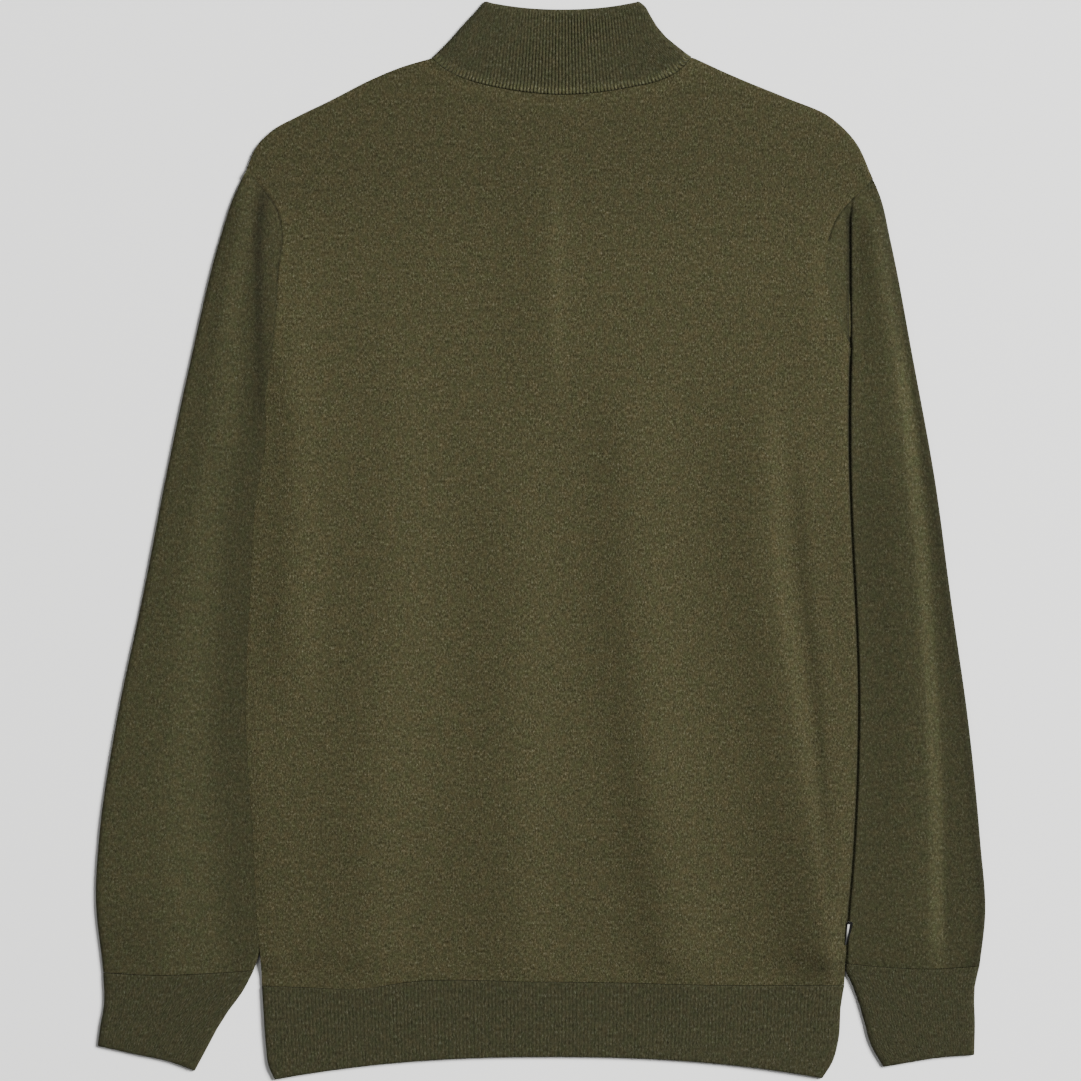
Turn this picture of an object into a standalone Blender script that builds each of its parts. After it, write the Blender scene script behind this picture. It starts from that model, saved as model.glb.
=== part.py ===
"""Knitted pullover with ribbed collar, cuffs and hem, laid flat with its back side up.

X runs across the garment, Y from the hem to the collar, Z up from the surface that it lies on.
The origin is on that surface, under the middle of the garment's outline.
"""
from collections import namedtuple

import bmesh
import bpy
import numpy as np

# ---------------------------------------------------------------- sizes, in millimetres
MM = 0.001
SEAM_GAP = 0.3            # between the edges of two pieces that are sewn together
JERSEY = 1.2              # wall of the plain knit
RIB_WALL = 1.9            # wall of the ribbed bands, between the ribs
RIB_RISE = 0.45           # height of a rib above the wall
LAYER_AIR = 0.8           # loft between the front and the back panel
EDGE_AIR = 0.3            # the same at the folded edges, where the panels meet
PRESSED = 2.7             # a sleeve's thickness where the body lies on it
OVER_SLEEVE = 3.1         # height at which the body lies over a tucked sleeve
SLEEVE_CREST = 6.2        # top of the soft ridge along a sleeve
SLEEVE_EDGE = 4.0         # a sleeve's thickness next to its outer fold
BAND_AIR = 0.6            # loft between the two layers of a ribbed band
COLLAR_CENTRE = 17.9      # the neck's middle
NECK_HALF = 90.3          # half the width of the neck seam
SLEEVE_START = 6.0        # length of the closed end of a sleeve, at the shoulder point
NECK_LOW = 310.8          # lowest point of the back neck seam
NECK_RISE = 24.5          # how far its ends stand above that
FRONT_NECK_DROP = 42.0    # how much lower the front neck seam runs
RIM_CENTRE = 14.3
RIM_HALF = 54.0
RIM_LOW = 371.5
RIM_RISE = 5.6
FRONT_RIM_DROP = 14.0     # the front of the collar's rim, under the back of it
HEM_CENTRE = 8.0
HEM_HALF = 195.0
HEM_LOW = -361.2          # the hem's lower edge, at its middle
HEM_DROP = 16.1           # how far its corners hang below that
BACK_NECK_POWER = 2.6     # how square each arch is towards its ends: 2 is a parabola
FRONT_NECK_POWER = 2.2
RIM_POWER = 2.2
HEM_POWER = 2.3
EDGE_ROUNDING = 3.0       # width over which the body's wall thins towards its folded edges
EDGE_SHARE = 0.55         # and the share of it that is left there
LOFT_WIDTH = 10.0         # width over which the loft between the panels grows from those edges
CLEAR = 50.0              # a distance far enough in to have no edge near it

# Numbers of ribs that show on the upper side, and of faces along each stretch.
HEM_RIBS = 156
COLLAR_RIBS = 66
CUFF_RIBS = 42
SHOULDER_STEPS = 8
NECK_STEPS = 12
ARMHOLE_STEPS = 8
SIDE_STEPS = 15
SLEEVE_STEPS = 8          # across a sleeve
BAND_STEPS = 8            # across the plain side of a cuff or the collar
OUTER_STEPS = 120         # along a sleeve's outer fold, where its rows are measured off
BAND_EDGE_STEPS = 6       # along the sides of a band

Point = namedtuple("Point", "x y")
Fold = namedtuple("Fold", "x_top y_top x_mid y_mid x_low y_low rise half_width")
Level = namedtuple("Level", "y value")
Side = namedtuple("Side", "sign armhole edge outer crest groove groove_half")
Finish = namedtuple("Finish", "colour roughness")


def points(*rows):
    return np.array([Point(*row) for row in rows], dtype=float)


# ---------------------------------------------------------------- outlines, columns x and y
SHOULDER_LEFT = points((-205.5, 259.7), (-199.5, 274), (-188, 286.5), (-170, 296), (-72.5, 335.3))
SHOULDER_RIGHT = points((108.2, 335.3), (173.3, 308.5), (202, 295.5), (219, 279), (232.8, 252.7))
ARMHOLE_LEFT = points((-205.5, 259.7), (-192.5, 243.5), (-184.8, 232), (-181, 216), (-183.5, 190),
                      (-186.5, 145), (-192.5, 98))
ARMHOLE_RIGHT = points((232.8, 252.7), (217.5, 238.5), (206, 224), (200.8, 207), (201, 180),
                       (208, 155), (216, 137.5))
SIDE_LEFT = points((-192.5, 98), (-192, 75), (-199.2, 26.6), (-203.3, -45), (-206, -130),
                   (-201.5, -200), (-197.8, -279), (-195.5, -311.5))
SIDE_RIGHT = points((216, 137.5), (215.2, 100), (217, 50), (221.2, -49), (222.6, -110),
                    (219.5, -200), (214.6, -265), (212.6, -310.8))
OUTER_LEFT = points((-205.5, 259.7), (-214, 242), (-224.5, 210), (-244.7, 126), (-262.5, 42),
                    (-278.8, -42), (-296.5, -126), (-309, -210), (-311.1, -248), (-305.8, -302))
OUTER_RIGHT = points((232.8, 252.7), (237, 241), (243.8, 210), (259.6, 126), (275, 42),
                     (286.3, -42), (298.2, -126), (307.2, -210), (311.1, -262), (307.2, -297.3))
HIDDEN_LEFT = points((-192.5, 98), (-180, 70), (-166, 30), (-160, -20), (-158, -70), (-163, -154),
                     (-174, -220), (-199.4, -270), (-199.2, -284), (-200.6, -300.6))
HIDDEN_RIGHT = points((216, 137.5), (196, 110), (176, 76), (170, 30), (172, -20), (182, -112),
                      (192, -182), (203, -232), (216.4, -270), (215.8, -284), (214.5, -295.7))
HEM_SEAM = points((-195.5, -311.5), (-166.9, -312.4), (-124.3, -313.4), (-94.9, -309), (0, -308.6),
                  (64, -309.4), (120, -310.8), (212.6, -310.8))
HEM_LEFT = points((-195.5, -311.8), (-194, -330), (-192, -354), (-190, -368), (-185.9, -377.1))
HEM_RIGHT = points((212.6, -311.1), (209.4, -322), (207, -350), (203.4, -364), (197.1, -376.2))
COLLAR_LEFT = points((-72.5, 335.6), (-65.5, 344.4), (-53.6, 361), (-44, 371.5), (-39.7, 377.1))
COLLAR_RIGHT = points((108.2, 335.6), (98.4, 341.5), (85.1, 353.1), (75, 367), (68.3, 377.1))
CUFF_LEFT_OUTER = points((-305.8, -302.5), (-305.4, -325), (-308, -340), (-309.8, -353.5))
CUFF_LEFT_INNER = points((-200.6, -300.9), (-207.6, -314.3), (-221.6, -333.9), (-237, -362),
                         (-241.9, -371))
CUFF_LEFT_END = points((-309.8, -353.5), (-283.2, -359.4), (-258, -365), (-241.9, -371))
CUFF_LEFT_SEAM = points((-305.8, -302), (-270, -303.8), (-235, -302.8), (-200.6, -300.6))
CUFF_RIGHT_OUTER = points((307.2, -297.6), (304.2, -310), (304, -340), (303.5, -359.8))
CUFF_RIGHT_INNER = points((214.5, -296), (220.2, -315), (225.8, -333.9), (231, -352.5),
                          (239.8, -368.2))
CUFF_RIGHT_END = points((303.5, -359.8), (277.6, -361.9), (258.7, -364.9), (239.8, -368.2))
CUFF_RIGHT_SEAM = points((307.2, -297.3), (270, -299.4), (240, -298.2), (214.5, -295.7))
LABEL_OUTLINE = points((214.6, -267.2), (218.8, -267.9), (218.3, -270.5), (215.2, -281.6),
                       (214.2, -281.9))
LABEL_THICKNESS = 1.0
LABEL_GAP = 0.4           # clear of the body's edge
LABEL_BASE = 5.2          # height of its underside, above the sleeve that it lies over

# Soft folds of the back panel: three points along each crest, its rise and half its width.
BACK_FOLDS = [
    Fold(10, 262, 9, 182, 14, 100, 1.0, 10),
    Fold(7, 90, 3, -70, 4, -308, 1.5, 19),
    Fold(-95, 130, -84, -60, -98, -260, 1.5, 19),
    Fold(77, 95, 80, -70, 119, -308, 1.9, 18),
    Fold(-162, 100, -152, -70, -166, -250, 1.0, 13),
    Fold(160, 100, 172, -90, 204, -290, 1.7, 10),
    Fold(206, 60, 212, -90, 206, -290, 0.9, 9),
]
# The groove where a sleeve folds under beside its armhole seam: distance from the middle line.
GROOVE_LEFT = [Level(98, 194), Level(190, 199), Level(232, 199.5), Level(260, 196)]
GROOVE_RIGHT = [Level(137, 217.5), Level(200, 217.5), Level(238, 219), Level(253, 224)]
CREST_LEFT = [Level(-300, 256), Level(-180, 252), Level(98, 226), Level(200, 219), Level(260, 206)]
CREST_RIGHT = [Level(-300, 279), Level(-180, 280), Level(-77, 273), Level(63, 262),
               Level(216, 240), Level(253, 233)]
GROOVE_DEPTH = 1.8
GROOVE_HALF_LEFT = 6.5
GROOVE_HALF_RIGHT = 4.0
RAMP_START = 36.0         # how far inside a tucked sleeve's edge the body starts to rise
RAMP_END = 13.0           # and where it has risen
UNDERARM_RAMP = 26.0      # length over which it comes down again, from just above the underarm
UNDERARM_AHEAD = 30.0
HEM_RAMP = 16.0           # the same above the hem
HEM_RAMP_FOOT = -306.0
OVER_COLLAR_REACH = 1.15  # how far the back lies on the collar band's front, in half neck widths
OVER_COLLAR_FOOT = 258.0  # where it comes down from that
OVER_COLLAR_RAMP = 8.0
FOLD_AHEAD = 20.0         # how far a fold runs on past its ends, and how long it takes to fade
FOLD_FADE = 50.0
SLEEVE_FALL = 1.6         # how a sleeve's roof bends down to its outer fold: 1 is a straight slope
SLEEVE_RISE_LENGTH = 40.0
ATTACHED_LENGTH = 22.0    # length over which a sleeve comes up to the body's level at the underarm
GROOVE_AHEAD = 6.0
GROOVE_FADE = 20.0
SEAM_LEVEL_INSET = 12.0   # how far in from the armhole the body's level is taken for its sleeve
FOLD_TOP = 0.62           # shares of the height of a fold's edge at which its round side
FOLD_BOTTOM = 0.3         # starts and ends
FOLD_NEAR = 0.93
SHOULDER_END_HEIGHT = 2.4
CAVITY = 0.2              # hollow at a tube's folds
FLOOR_SHARE = 0.9
MOST_INSET = 0.08         # the share of a tube's width that its wall may take at its sides
BAND_MARGIN = 0.03        # share of a collar's or cuff's width without ribs, at each side
HEM_MARGIN = 0.012
BAND_ROWS = np.array([0, 0.35, 0.94, 1])
HEM_ROWS = np.array([0, 0.5, 1])
SHARP_ANGLE = 0.7         # in radians

FINISHES = {
    "jersey": Finish((0.078, 0.067, 0.031), 0.95),
    "rib": Finish((0.057, 0.052, 0.026), 0.95),
    "label": Finish((0.62, 0.62, 0.60), 0.8),
}


# ---------------------------------------------------------------- lines and grids
def smooth_line(rows, steps):
    """A smooth line through the rows, as steps + 1 points evenly along it."""
    rows = np.asarray(rows)
    chords = np.hypot(*np.diff(rows, axis=0).T)
    place = np.concatenate([[0], np.cumsum(chords)])
    slope = np.gradient(rows, place, axis=0)
    fine = np.linspace(0, place[-1], 40 * len(rows))
    index = np.clip(np.searchsorted(place, fine) - 1, 0, len(chords) - 1)
    part = ((fine - place[index]) / chords[index])[:, None]
    span = chords[index][:, None]
    curve = ((2 * part**3 - 3 * part**2 + 1) * rows[index]
             + (part**3 - 2 * part**2 + part) * span * slope[index]
             + (3 * part**2 - 2 * part**3) * rows[index + 1]
             + (part**3 - part**2) * span * slope[index + 1])
    along = np.concatenate([[0], np.cumsum(np.hypot(*np.diff(curve, axis=0).T))])
    even = np.linspace(0, along[-1], steps + 1)
    return np.column_stack([np.interp(even, along, curve[:, axis]) for axis in (0, 1)])


def arch_line(centre, half, low, rise, power, start, end, steps):
    """Points between two places across an arch that is lowest, or highest, at its centre."""
    across = np.linspace(start, end, steps + 1)
    return np.column_stack([across, low + rise * np.abs((across - centre) / half) ** power])


def join(*lines):
    """One line from several, each of which starts where the last one ends."""
    return np.concatenate([lines[0]] + [line[1:] for line in lines[1:]])


def on_line(line, share):
    """Points on a line of straight pieces, by share of its number of pieces."""
    place = np.asarray(share) * (len(line) - 1)
    index = np.clip(place.astype(int), 0, len(line) - 2)
    part = (place - index)[:, None]
    return line[index] * (1 - part) + line[index + 1] * part


def patch(top, bottom, left, right, across, down):
    """A grid of points between four lines: rows run down, columns across."""
    u = np.asarray(across)[None, :, None]
    v = np.asarray(down)[:, None, None]
    corners = ((1 - u) * (1 - v) * top[0] + u * (1 - v) * top[-1]
               + (1 - u) * v * bottom[0] + u * v * bottom[-1])
    return ((1 - v) * on_line(top, across)[None] + v * on_line(bottom, across)[None]
            + (1 - u) * on_line(left, down)[:, None] + u * on_line(right, down)[:, None]
            - corners)


def with_edges(steps, first, second):
    """Even shares from 0 to 1, with two more close to each end for a rounded edge."""
    even = np.arange(1, steps) / steps
    return np.concatenate([[0, first, second], even, [1 - second, 1 - first, 1]])


def ease(value):
    """A soft step from 0 to 1."""
    value = np.clip(value, 0, 1)
    return value * value * (3 - 2 * value)


def level(table, y):
    """A table's value at y; its rows run upwards."""
    return np.interp(y, [row.y for row in table], [row.value for row in table])


def x_at(line, y):
    """Where a line that runs downwards crosses y."""
    return np.interp(y, line[::-1, 1], line[::-1, 0])


# ---------------------------------------------------------------- the shared seam lines
LEFT_SHOULDER = smooth_line(SHOULDER_LEFT, SHOULDER_STEPS)
RIGHT_SHOULDER = smooth_line(SHOULDER_RIGHT, SHOULDER_STEPS)
LEFT_ARMHOLE = smooth_line(ARMHOLE_LEFT, ARMHOLE_STEPS)
RIGHT_ARMHOLE = smooth_line(ARMHOLE_RIGHT, ARMHOLE_STEPS)
LEFT_SIDE = smooth_line(SIDE_LEFT, SIDE_STEPS)
RIGHT_SIDE = smooth_line(SIDE_RIGHT, SIDE_STEPS)
LEFT_UNDERARM = LEFT_ARMHOLE[-1, 1]
RIGHT_UNDERARM = RIGHT_ARMHOLE[-1, 1]
NECK_LEFT = COLLAR_CENTRE - NECK_HALF
NECK_RIGHT = COLLAR_CENTRE + NECK_HALF
BACK_NECK = arch_line(COLLAR_CENTRE, NECK_HALF, NECK_LOW, NECK_RISE, BACK_NECK_POWER,
                      NECK_LEFT, NECK_RIGHT, NECK_STEPS)
FRONT_NECK = arch_line(COLLAR_CENTRE, NECK_HALF, NECK_LOW - FRONT_NECK_DROP,
                       NECK_RISE + FRONT_NECK_DROP, FRONT_NECK_POWER, NECK_LEFT, NECK_RIGHT,
                       NECK_STEPS)
BODY_STEPS = 2 * SHOULDER_STEPS + NECK_STEPS
HEM_LINE = smooth_line(HEM_SEAM, BODY_STEPS)
DOWN = np.array([0, -SEAM_GAP])


# ---------------------------------------------------------------- heights
def bed(grid):
    """The height that the body lies at: 0, but risen where a tucked sleeve is under it."""
    x, y = grid[..., 0], grid[..., 1]
    height = np.zeros_like(x)
    sleeves = ((-1, HIDDEN_LEFT, LEFT_UNDERARM), (1, HIDDEN_RIGHT, RIGHT_UNDERARM))
    for sign, line, underarm in sleeves:
        inside = sign * (x - x_at(line, y))
        risen = ease((inside + RAMP_START) / (RAMP_START - RAMP_END))
        below_underarm = ease((underarm + UNDERARM_AHEAD - y) / UNDERARM_RAMP)
        above_hem = ease((y - HEM_RAMP_FOOT) / HEM_RAMP)
        height = height + OVER_SLEEVE * risen * below_underarm * above_hem
    return height


def fold_rise(grid):
    """The soft vertical folds of the back panel."""
    x, y = grid[..., 0], grid[..., 1]
    rise = np.zeros_like(x)
    for fold in BACK_FOLDS:
        stations = [fold.y_low, fold.y_mid, fold.y_top]
        crest = np.interp(y, stations, [fold.x_low, fold.x_mid, fold.x_top])
        fade = (ease((fold.y_top + FOLD_AHEAD - y) / FOLD_FADE)
                * ease((y - fold.y_low + FOLD_AHEAD) / FOLD_FADE))
        rise = rise + fold.rise * fade * np.exp(-(((x - crest) / fold.half_width) ** 2))
    return rise


def side_distance(grid):
    """How far each point lies from the folded side edges, large beside the armholes."""
    x, y = grid[..., 0], grid[..., 1]
    left = x - x_at(LEFT_SIDE, y) + np.where(y > LEFT_UNDERARM, CLEAR, 0)
    right = x_at(RIGHT_SIDE, y) - x + np.where(y > RIGHT_UNDERARM, CLEAR, 0)
    return np.minimum(left, right)


def shoulder_distance(grid):
    """How far each point lies below the shoulder seams, large under the neck."""
    x, y = grid[..., 0], grid[..., 1]
    seam = join(LEFT_SHOULDER, BACK_NECK, RIGHT_SHOULDER)
    under_neck = (x > NECK_LEFT + 1) & (x < NECK_RIGHT - 1)
    return np.where(under_neck, CLEAR, np.interp(x, seam[:, 0], seam[:, 1]) - y)


def edge_share(grid):
    """0 at the folded edges of the body, 1 a little way in."""
    distance = np.minimum(side_distance(grid), shoulder_distance(grid))
    return ease(distance / LOFT_WIDTH)


def edge_thickness(grid, wall):
    """A wall's thickness, rounded off at the body's folded edges."""
    distance = np.minimum(side_distance(grid), shoulder_distance(grid))
    inward = np.clip(distance / EDGE_ROUNDING, 0, 1)
    return wall * (EDGE_SHARE + (1 - EDGE_SHARE) * np.sqrt(1 - (1 - inward) ** 2))


def back_underside(grid):
    """The back panel lies on the front panel, with loft between them."""
    across_neck = np.abs(grid[..., 0] - COLLAR_CENTRE) / NECK_HALF
    over_collar = (ease((OVER_COLLAR_REACH - across_neck) / 0.1)
                   * ease((grid[..., 1] - OVER_COLLAR_FOOT) / OVER_COLLAR_RAMP))
    lift = EDGE_AIR + (LAYER_AIR - EDGE_AIR + fold_rise(grid)) * edge_share(grid)
    return bed(grid) + JERSEY + (RIB_WALL - JERSEY) * over_collar + lift


def back_top(grid):
    return back_underside(grid) + edge_thickness(grid, JERSEY)


def sleeve_top(grid, side):
    """A sleeve's upper surface: pressed under the body, a soft crest beside it."""
    x, y = grid[..., 0], grid[..., 1]
    out = side.sign * x
    top, underarm = side.armhole[0, 1], side.armhole[-1, 1]
    inner = side.sign * x_at(join(side.armhole, side.edge), y)
    rim = side.sign * x_at(side.outer, y)
    crest = np.clip(level(side.crest, y), inner + 1, rim - 1)
    seam_level = back_top(np.stack([side.sign * (inner - SEAM_LEVEL_INSET), y], axis=-1))
    attached = ease((y - underarm) / ATTACHED_LENGTH)
    start = PRESSED + (seam_level - PRESSED) * attached
    climb = ease((out - inner) / (crest - inner))
    fall = np.clip((out - crest) / np.maximum(rim - crest, 1), 0, 1) ** SLEEVE_FALL
    roof = SLEEVE_EDGE + (SLEEVE_CREST - SLEEVE_EDGE) * ease((top - y) / SLEEVE_RISE_LENGTH)
    dome = start + (roof - start) * climb - (roof - SLEEVE_EDGE) * fall
    in_groove = np.exp(-(((out - level(side.groove, y)) / side.groove_half) ** 2))
    depth = GROOVE_DEPTH * ease((top - GROOVE_AHEAD - y) / GROOVE_FADE) * attached
    return np.maximum(dome - depth * in_groove, PRESSED)


# ---------------------------------------------------------------- meshes
def add_grid(mesh, grid, heights):
    """The points and triangles of one skin; returns its vertices by row and column."""
    rows = [[mesh.verts.new((x * MM, y * MM, z * MM)) for (x, y), z in zip(line, line_heights)]
            for line, line_heights in zip(grid, heights)]
    for upper, lower in zip(rows, rows[1:]):
        for column in range(len(upper) - 1):
            mesh.faces.new((upper[column], lower[column], lower[column + 1]))
            mesh.faces.new((upper[column], lower[column + 1], upper[column + 1]))
    return rows


def shares_along(row):
    """Each vertex's share of a row's length."""
    steps = [(b.co - a.co).length for a, b in zip(row, row[1:])]
    return np.concatenate([[0], np.cumsum(steps)]) / sum(steps)


def stitch(mesh, first, second):
    """Triangles between two rows that run the same way, however many vertices each has."""
    first_share, second_share = shares_along(first), shares_along(second)
    a = b = 0
    while a < len(first) - 1 or b < len(second) - 1:
        first_next = first_share[a + 1] if a < len(first) - 1 else 2
        second_next = second_share[b + 1] if b < len(second) - 1 else 2
        if first_next <= second_next:
            mesh.faces.new((first[a], first[a + 1], second[b]))
            a += 1
        else:
            mesh.faces.new((first[a], second[b + 1], second[b]))
            b += 1


def column(rows, index):
    return [row[index] for row in rows]


def make_object(name, mesh, finish):
    bmesh.ops.recalc_face_normals(mesh, faces=mesh.faces)
    data = bpy.data.meshes.new(name)
    mesh.to_mesh(data)
    mesh.free()
    data.shade_smooth()
    data.set_sharp_from_angle(angle=SHARP_ANGLE)
    data.materials.append(materials[finish])
    thing = bpy.data.objects.new(name, data)
    garment.objects.link(thing)
    return thing


def panel(name, upper_grid, upper, lower_grid, lower, finish):
    """A single wall of cloth: two skins closed all round."""
    mesh = bmesh.new()
    top = add_grid(mesh, upper_grid, upper)
    under = add_grid(mesh, lower_grid, lower)
    stitch(mesh, top[0], under[0])
    stitch(mesh, top[-1], under[-1])
    stitch(mesh, column(top, 0), column(under, 0))
    stitch(mesh, column(top, -1), column(under, -1))
    return make_object(name, mesh, finish)


def tube(name, skins, open_rows, finish):
    """A flattened tube. Its last column is open beside the armhole for open_rows rows.

    skins holds the grid and heights of the outer top, outer bottom, inner top and inner bottom.
    Without open rows both ends are open; with them the first row is closed.
    """
    mesh = bmesh.new()
    top, bottom, inner_top, inner_bottom = [add_grid(mesh, *skin) for skin in skins]
    four = (top, bottom, inner_top, inner_bottom)

    def fold(a, b, c, d):
        stitch(mesh, a, b)
        stitch(mesh, c, d)

    def opening(a, b, c, d):
        stitch(mesh, a, c)
        stitch(mesh, b, d)

    def corner(row, index):
        mesh.faces.new([skin[row][index] for skin in (top, inner_top, inner_bottom, bottom)])

    fold(*[column(skin, 0) for skin in four])
    opening(*[skin[-1] for skin in four])
    corner(-1, 0)
    corner(-1, -1)
    if open_rows:
        fold(*[skin[0] for skin in four])
        opening(*[column(skin, -1)[:open_rows + 1] for skin in four])
        fold(*[column(skin, -1)[open_rows:] for skin in four])
        corner(0, -1)
        corner(open_rows, -1)
    else:
        fold(*[column(skin, -1) for skin in four])
        opening(*[skin[0] for skin in four])
        corner(0, 0)
        corner(0, -1)
    return make_object(name, mesh, finish)


def fold_heights(heights, left_rows, right_rows):
    """Outer skins brought together at the folded ends of their rows, with a rounded edge."""
    top = heights.copy()
    bottom = np.zeros_like(heights)
    for rows, end, near in ((left_rows, 0, 1), (right_rows, -1, -2)):
        top[rows, end] = heights[rows, end] * FOLD_TOP
        top[rows, near] = heights[rows, near] * FOLD_NEAR
        bottom[rows, end] = heights[rows, end] * FOLD_BOTTOM
    return top, bottom


def inset(grid, wall, left_rows, right_rows):
    """A tube's inner grid: its folded sides moved in by the wall, without the extra edge columns."""
    inner = np.delete(grid, [1, grid.shape[1] - 2], axis=1)
    width = np.hypot(*np.moveaxis(grid[:, -1] - grid[:, 0], -1, 0))
    share = np.minimum(wall / width, MOST_INSET)[:, None]
    towards_right = inner[:, -1] - inner[:, 0]
    inner[left_rows, 0] += (share * towards_right)[left_rows]
    inner[right_rows, -1] -= (share * towards_right)[right_rows]
    return inner


def inner_heights(outer, wall, left_rows, right_rows):
    """The ceiling and floor inside a tube, nearly meeting at its folds."""
    ceiling = np.delete(outer, [1, outer.shape[1] - 2], axis=1) - wall
    floor = np.full_like(ceiling, wall)
    for rows, end in ((left_rows, 0), (right_rows, -1)):
        ceiling[rows, end] = wall + CAVITY
        floor[rows, end] = wall * FLOOR_SHARE
    return ceiling, floor


# ---------------------------------------------------------------- the pieces
def make_body():
    """Front and back panel: the same sides and hem, the front with the deeper neck."""
    across = with_edges(BODY_STEPS, 0.003, 0.012)
    even_rows = np.arange(1, ARMHOLE_STEPS + SIDE_STEPS + 1) / (ARMHOLE_STEPS + SIDE_STEPS)
    down = np.concatenate([[0, 0.003, 0.014], even_rows])
    left = join(LEFT_ARMHOLE, LEFT_SIDE)
    right = join(RIGHT_ARMHOLE, RIGHT_SIDE)
    back_edge = join(LEFT_SHOULDER, BACK_NECK, RIGHT_SHOULDER)
    front_edge = join(LEFT_SHOULDER, FRONT_NECK, RIGHT_SHOULDER)
    back_grid = patch(back_edge, HEM_LINE, left, right, across, down)
    front_grid = patch(front_edge, HEM_LINE, left, right, across, down)
    front_bottom = bed(front_grid)
    front_top = front_bottom + edge_thickness(front_grid, JERSEY)
    panel("front", front_grid, front_top, front_grid, front_bottom, "jersey")
    panel("back", back_grid, back_top(back_grid), back_grid, back_underside(back_grid), "jersey")


def make_sleeve(name, side, hidden, seam):
    """One sleeve: a flattened tube, sewn in at the armhole and tucked under the body's edge."""
    hidden_line = smooth_line(hidden, SIDE_STEPS)
    sewn = side.armhole + np.array([side.sign * SEAM_GAP, -SEAM_GAP])
    levels = np.linspace(sewn[-1, 1], seam[-1, 1], SIDE_STEPS + 1)
    inner = join(sewn, np.column_stack([x_at(hidden_line, levels), levels]))
    inner[-1] = seam[-1]
    outer_points = np.column_stack([x_at(side.outer, inner[:, 1]), inner[:, 1]])
    start = side.armhole[0, 1] - SLEEVE_START
    outer_points[0] = x_at(side.outer, start), start
    outer_points[-1] = seam[0]
    width = np.hypot(*(inner - outer_points).T)[:, None]
    edges = [np.minimum(1.2 / width, 0.04), np.minimum(3.5 / width, 0.1)]
    even = [np.full_like(width, step / SLEEVE_STEPS) for step in range(1, SLEEVE_STEPS)]
    shares = np.hstack([0 * width] + edges + even + [1 - edges[1], 1 - edges[0], 1 + 0 * width])
    grid = (outer_points[:, None] * (1 - shares[..., None]) + inner[:, None] * shares[..., None])
    grid[-1] = on_line(seam, shares[-1])
    heights = sleeve_top(grid, side)
    folded = slice(ARMHOLE_STEPS + 1, None)
    top, bottom = fold_heights(heights, slice(None), folded)
    top[0] = np.maximum(heights[0] * FOLD_NEAR, SHOULDER_END_HEIGHT)
    inner_grid = inset(grid, JERSEY, slice(None), slice(ARMHOLE_STEPS, None))
    inner_grid[0] += JERSEY * np.array([-side.sign * 0.3, -1])
    ceiling, floor = inner_heights(heights, JERSEY, slice(None), folded)
    ceiling[0] = JERSEY + CAVITY
    floor[0] = JERSEY * FLOOR_SHARE
    skins = ((grid, top), (grid, bottom), (inner_grid, ceiling), (inner_grid, floor))
    tube(name, skins, ARMHOLE_STEPS, "jersey")


def rib_shares(count, margin):
    """Shares across a band with a point on each rib and in each furrow, plain at the margins."""
    ribs = np.linspace(margin, 1 - margin, 2 * count + 1)
    return np.concatenate([[0, margin * 0.3], ribs, [1 - margin * 0.3, 1]])


def rib_relief(count):
    """The ribs' heights at those points."""
    relief = np.zeros(2 * count + 5)
    relief[3:-2:2] = RIB_RISE
    return relief


def make_band_tube(name, lines, under_lines, ribs):
    """A ribbed band closed into a flattened tube, ribbed on its upper side."""
    top_line, bottom_line, left, right = lines
    roof = 2 * RIB_WALL + BAND_AIR
    coarse = with_edges(BAND_STEPS, 0.012, 0.035)
    fine = rib_shares(ribs, BAND_MARGIN)
    fine_grid = patch(top_line, bottom_line, left, right, fine, BAND_ROWS)
    coarse_grid = patch(top_line, bottom_line, left, right, coarse, BAND_ROWS)
    under_grid = patch(*under_lines, left, right, coarse, BAND_ROWS)
    end_round = np.array([1, 1, 1, FOLD_NEAR])[:, None]
    fine_heights = (roof + rib_relief(ribs)[None]) * end_round
    fine_heights[:, [0, -1]] = roof * FOLD_TOP
    fine_heights[:, [1, -2]] = roof * FOLD_NEAR
    coarse_heights = np.full(coarse_grid.shape[:2], roof)
    under_heights = np.zeros_like(coarse_heights)
    under_heights[:, [0, -1]] = roof * FOLD_BOTTOM
    ceiling_grid = inset(coarse_grid, RIB_WALL, slice(None), slice(None))
    floor_grid = inset(under_grid, RIB_WALL, slice(None), slice(None))
    ceiling, floor = inner_heights(coarse_heights, RIB_WALL, slice(None), slice(None))
    ceiling[:, [0, -1]] = (roof + CAVITY) / 2
    floor[:, [0, -1]] = (roof - CAVITY) / 2
    skins = ((fine_grid, fine_heights), (under_grid, under_heights),
             (ceiling_grid, ceiling), (floor_grid, floor))
    tube(name, skins, 0, "rib")


def make_collar():
    """Stand collar, folded flat at its sides: the back of the band lies on the front of it."""
    rim = arch_line(RIM_CENTRE, RIM_HALF, RIM_LOW, RIM_RISE, RIM_POWER,
                    COLLAR_LEFT[-1, 0], COLLAR_RIGHT[-1, 0], NECK_STEPS)
    front_rim = arch_line(RIM_CENTRE, RIM_HALF, RIM_LOW - FRONT_RIM_DROP,
                          RIM_RISE + FRONT_RIM_DROP, RIM_POWER,
                          COLLAR_LEFT[-1, 0], COLLAR_RIGHT[-1, 0], NECK_STEPS)
    left = smooth_line(COLLAR_LEFT, BAND_EDGE_STEPS)
    right = smooth_line(COLLAR_RIGHT, BAND_EDGE_STEPS)
    lines = (BACK_NECK - DOWN, rim, left, right)
    under_lines = (FRONT_NECK - DOWN, front_rim)
    make_band_tube("collar", lines, under_lines, COLLAR_RIBS)


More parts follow.
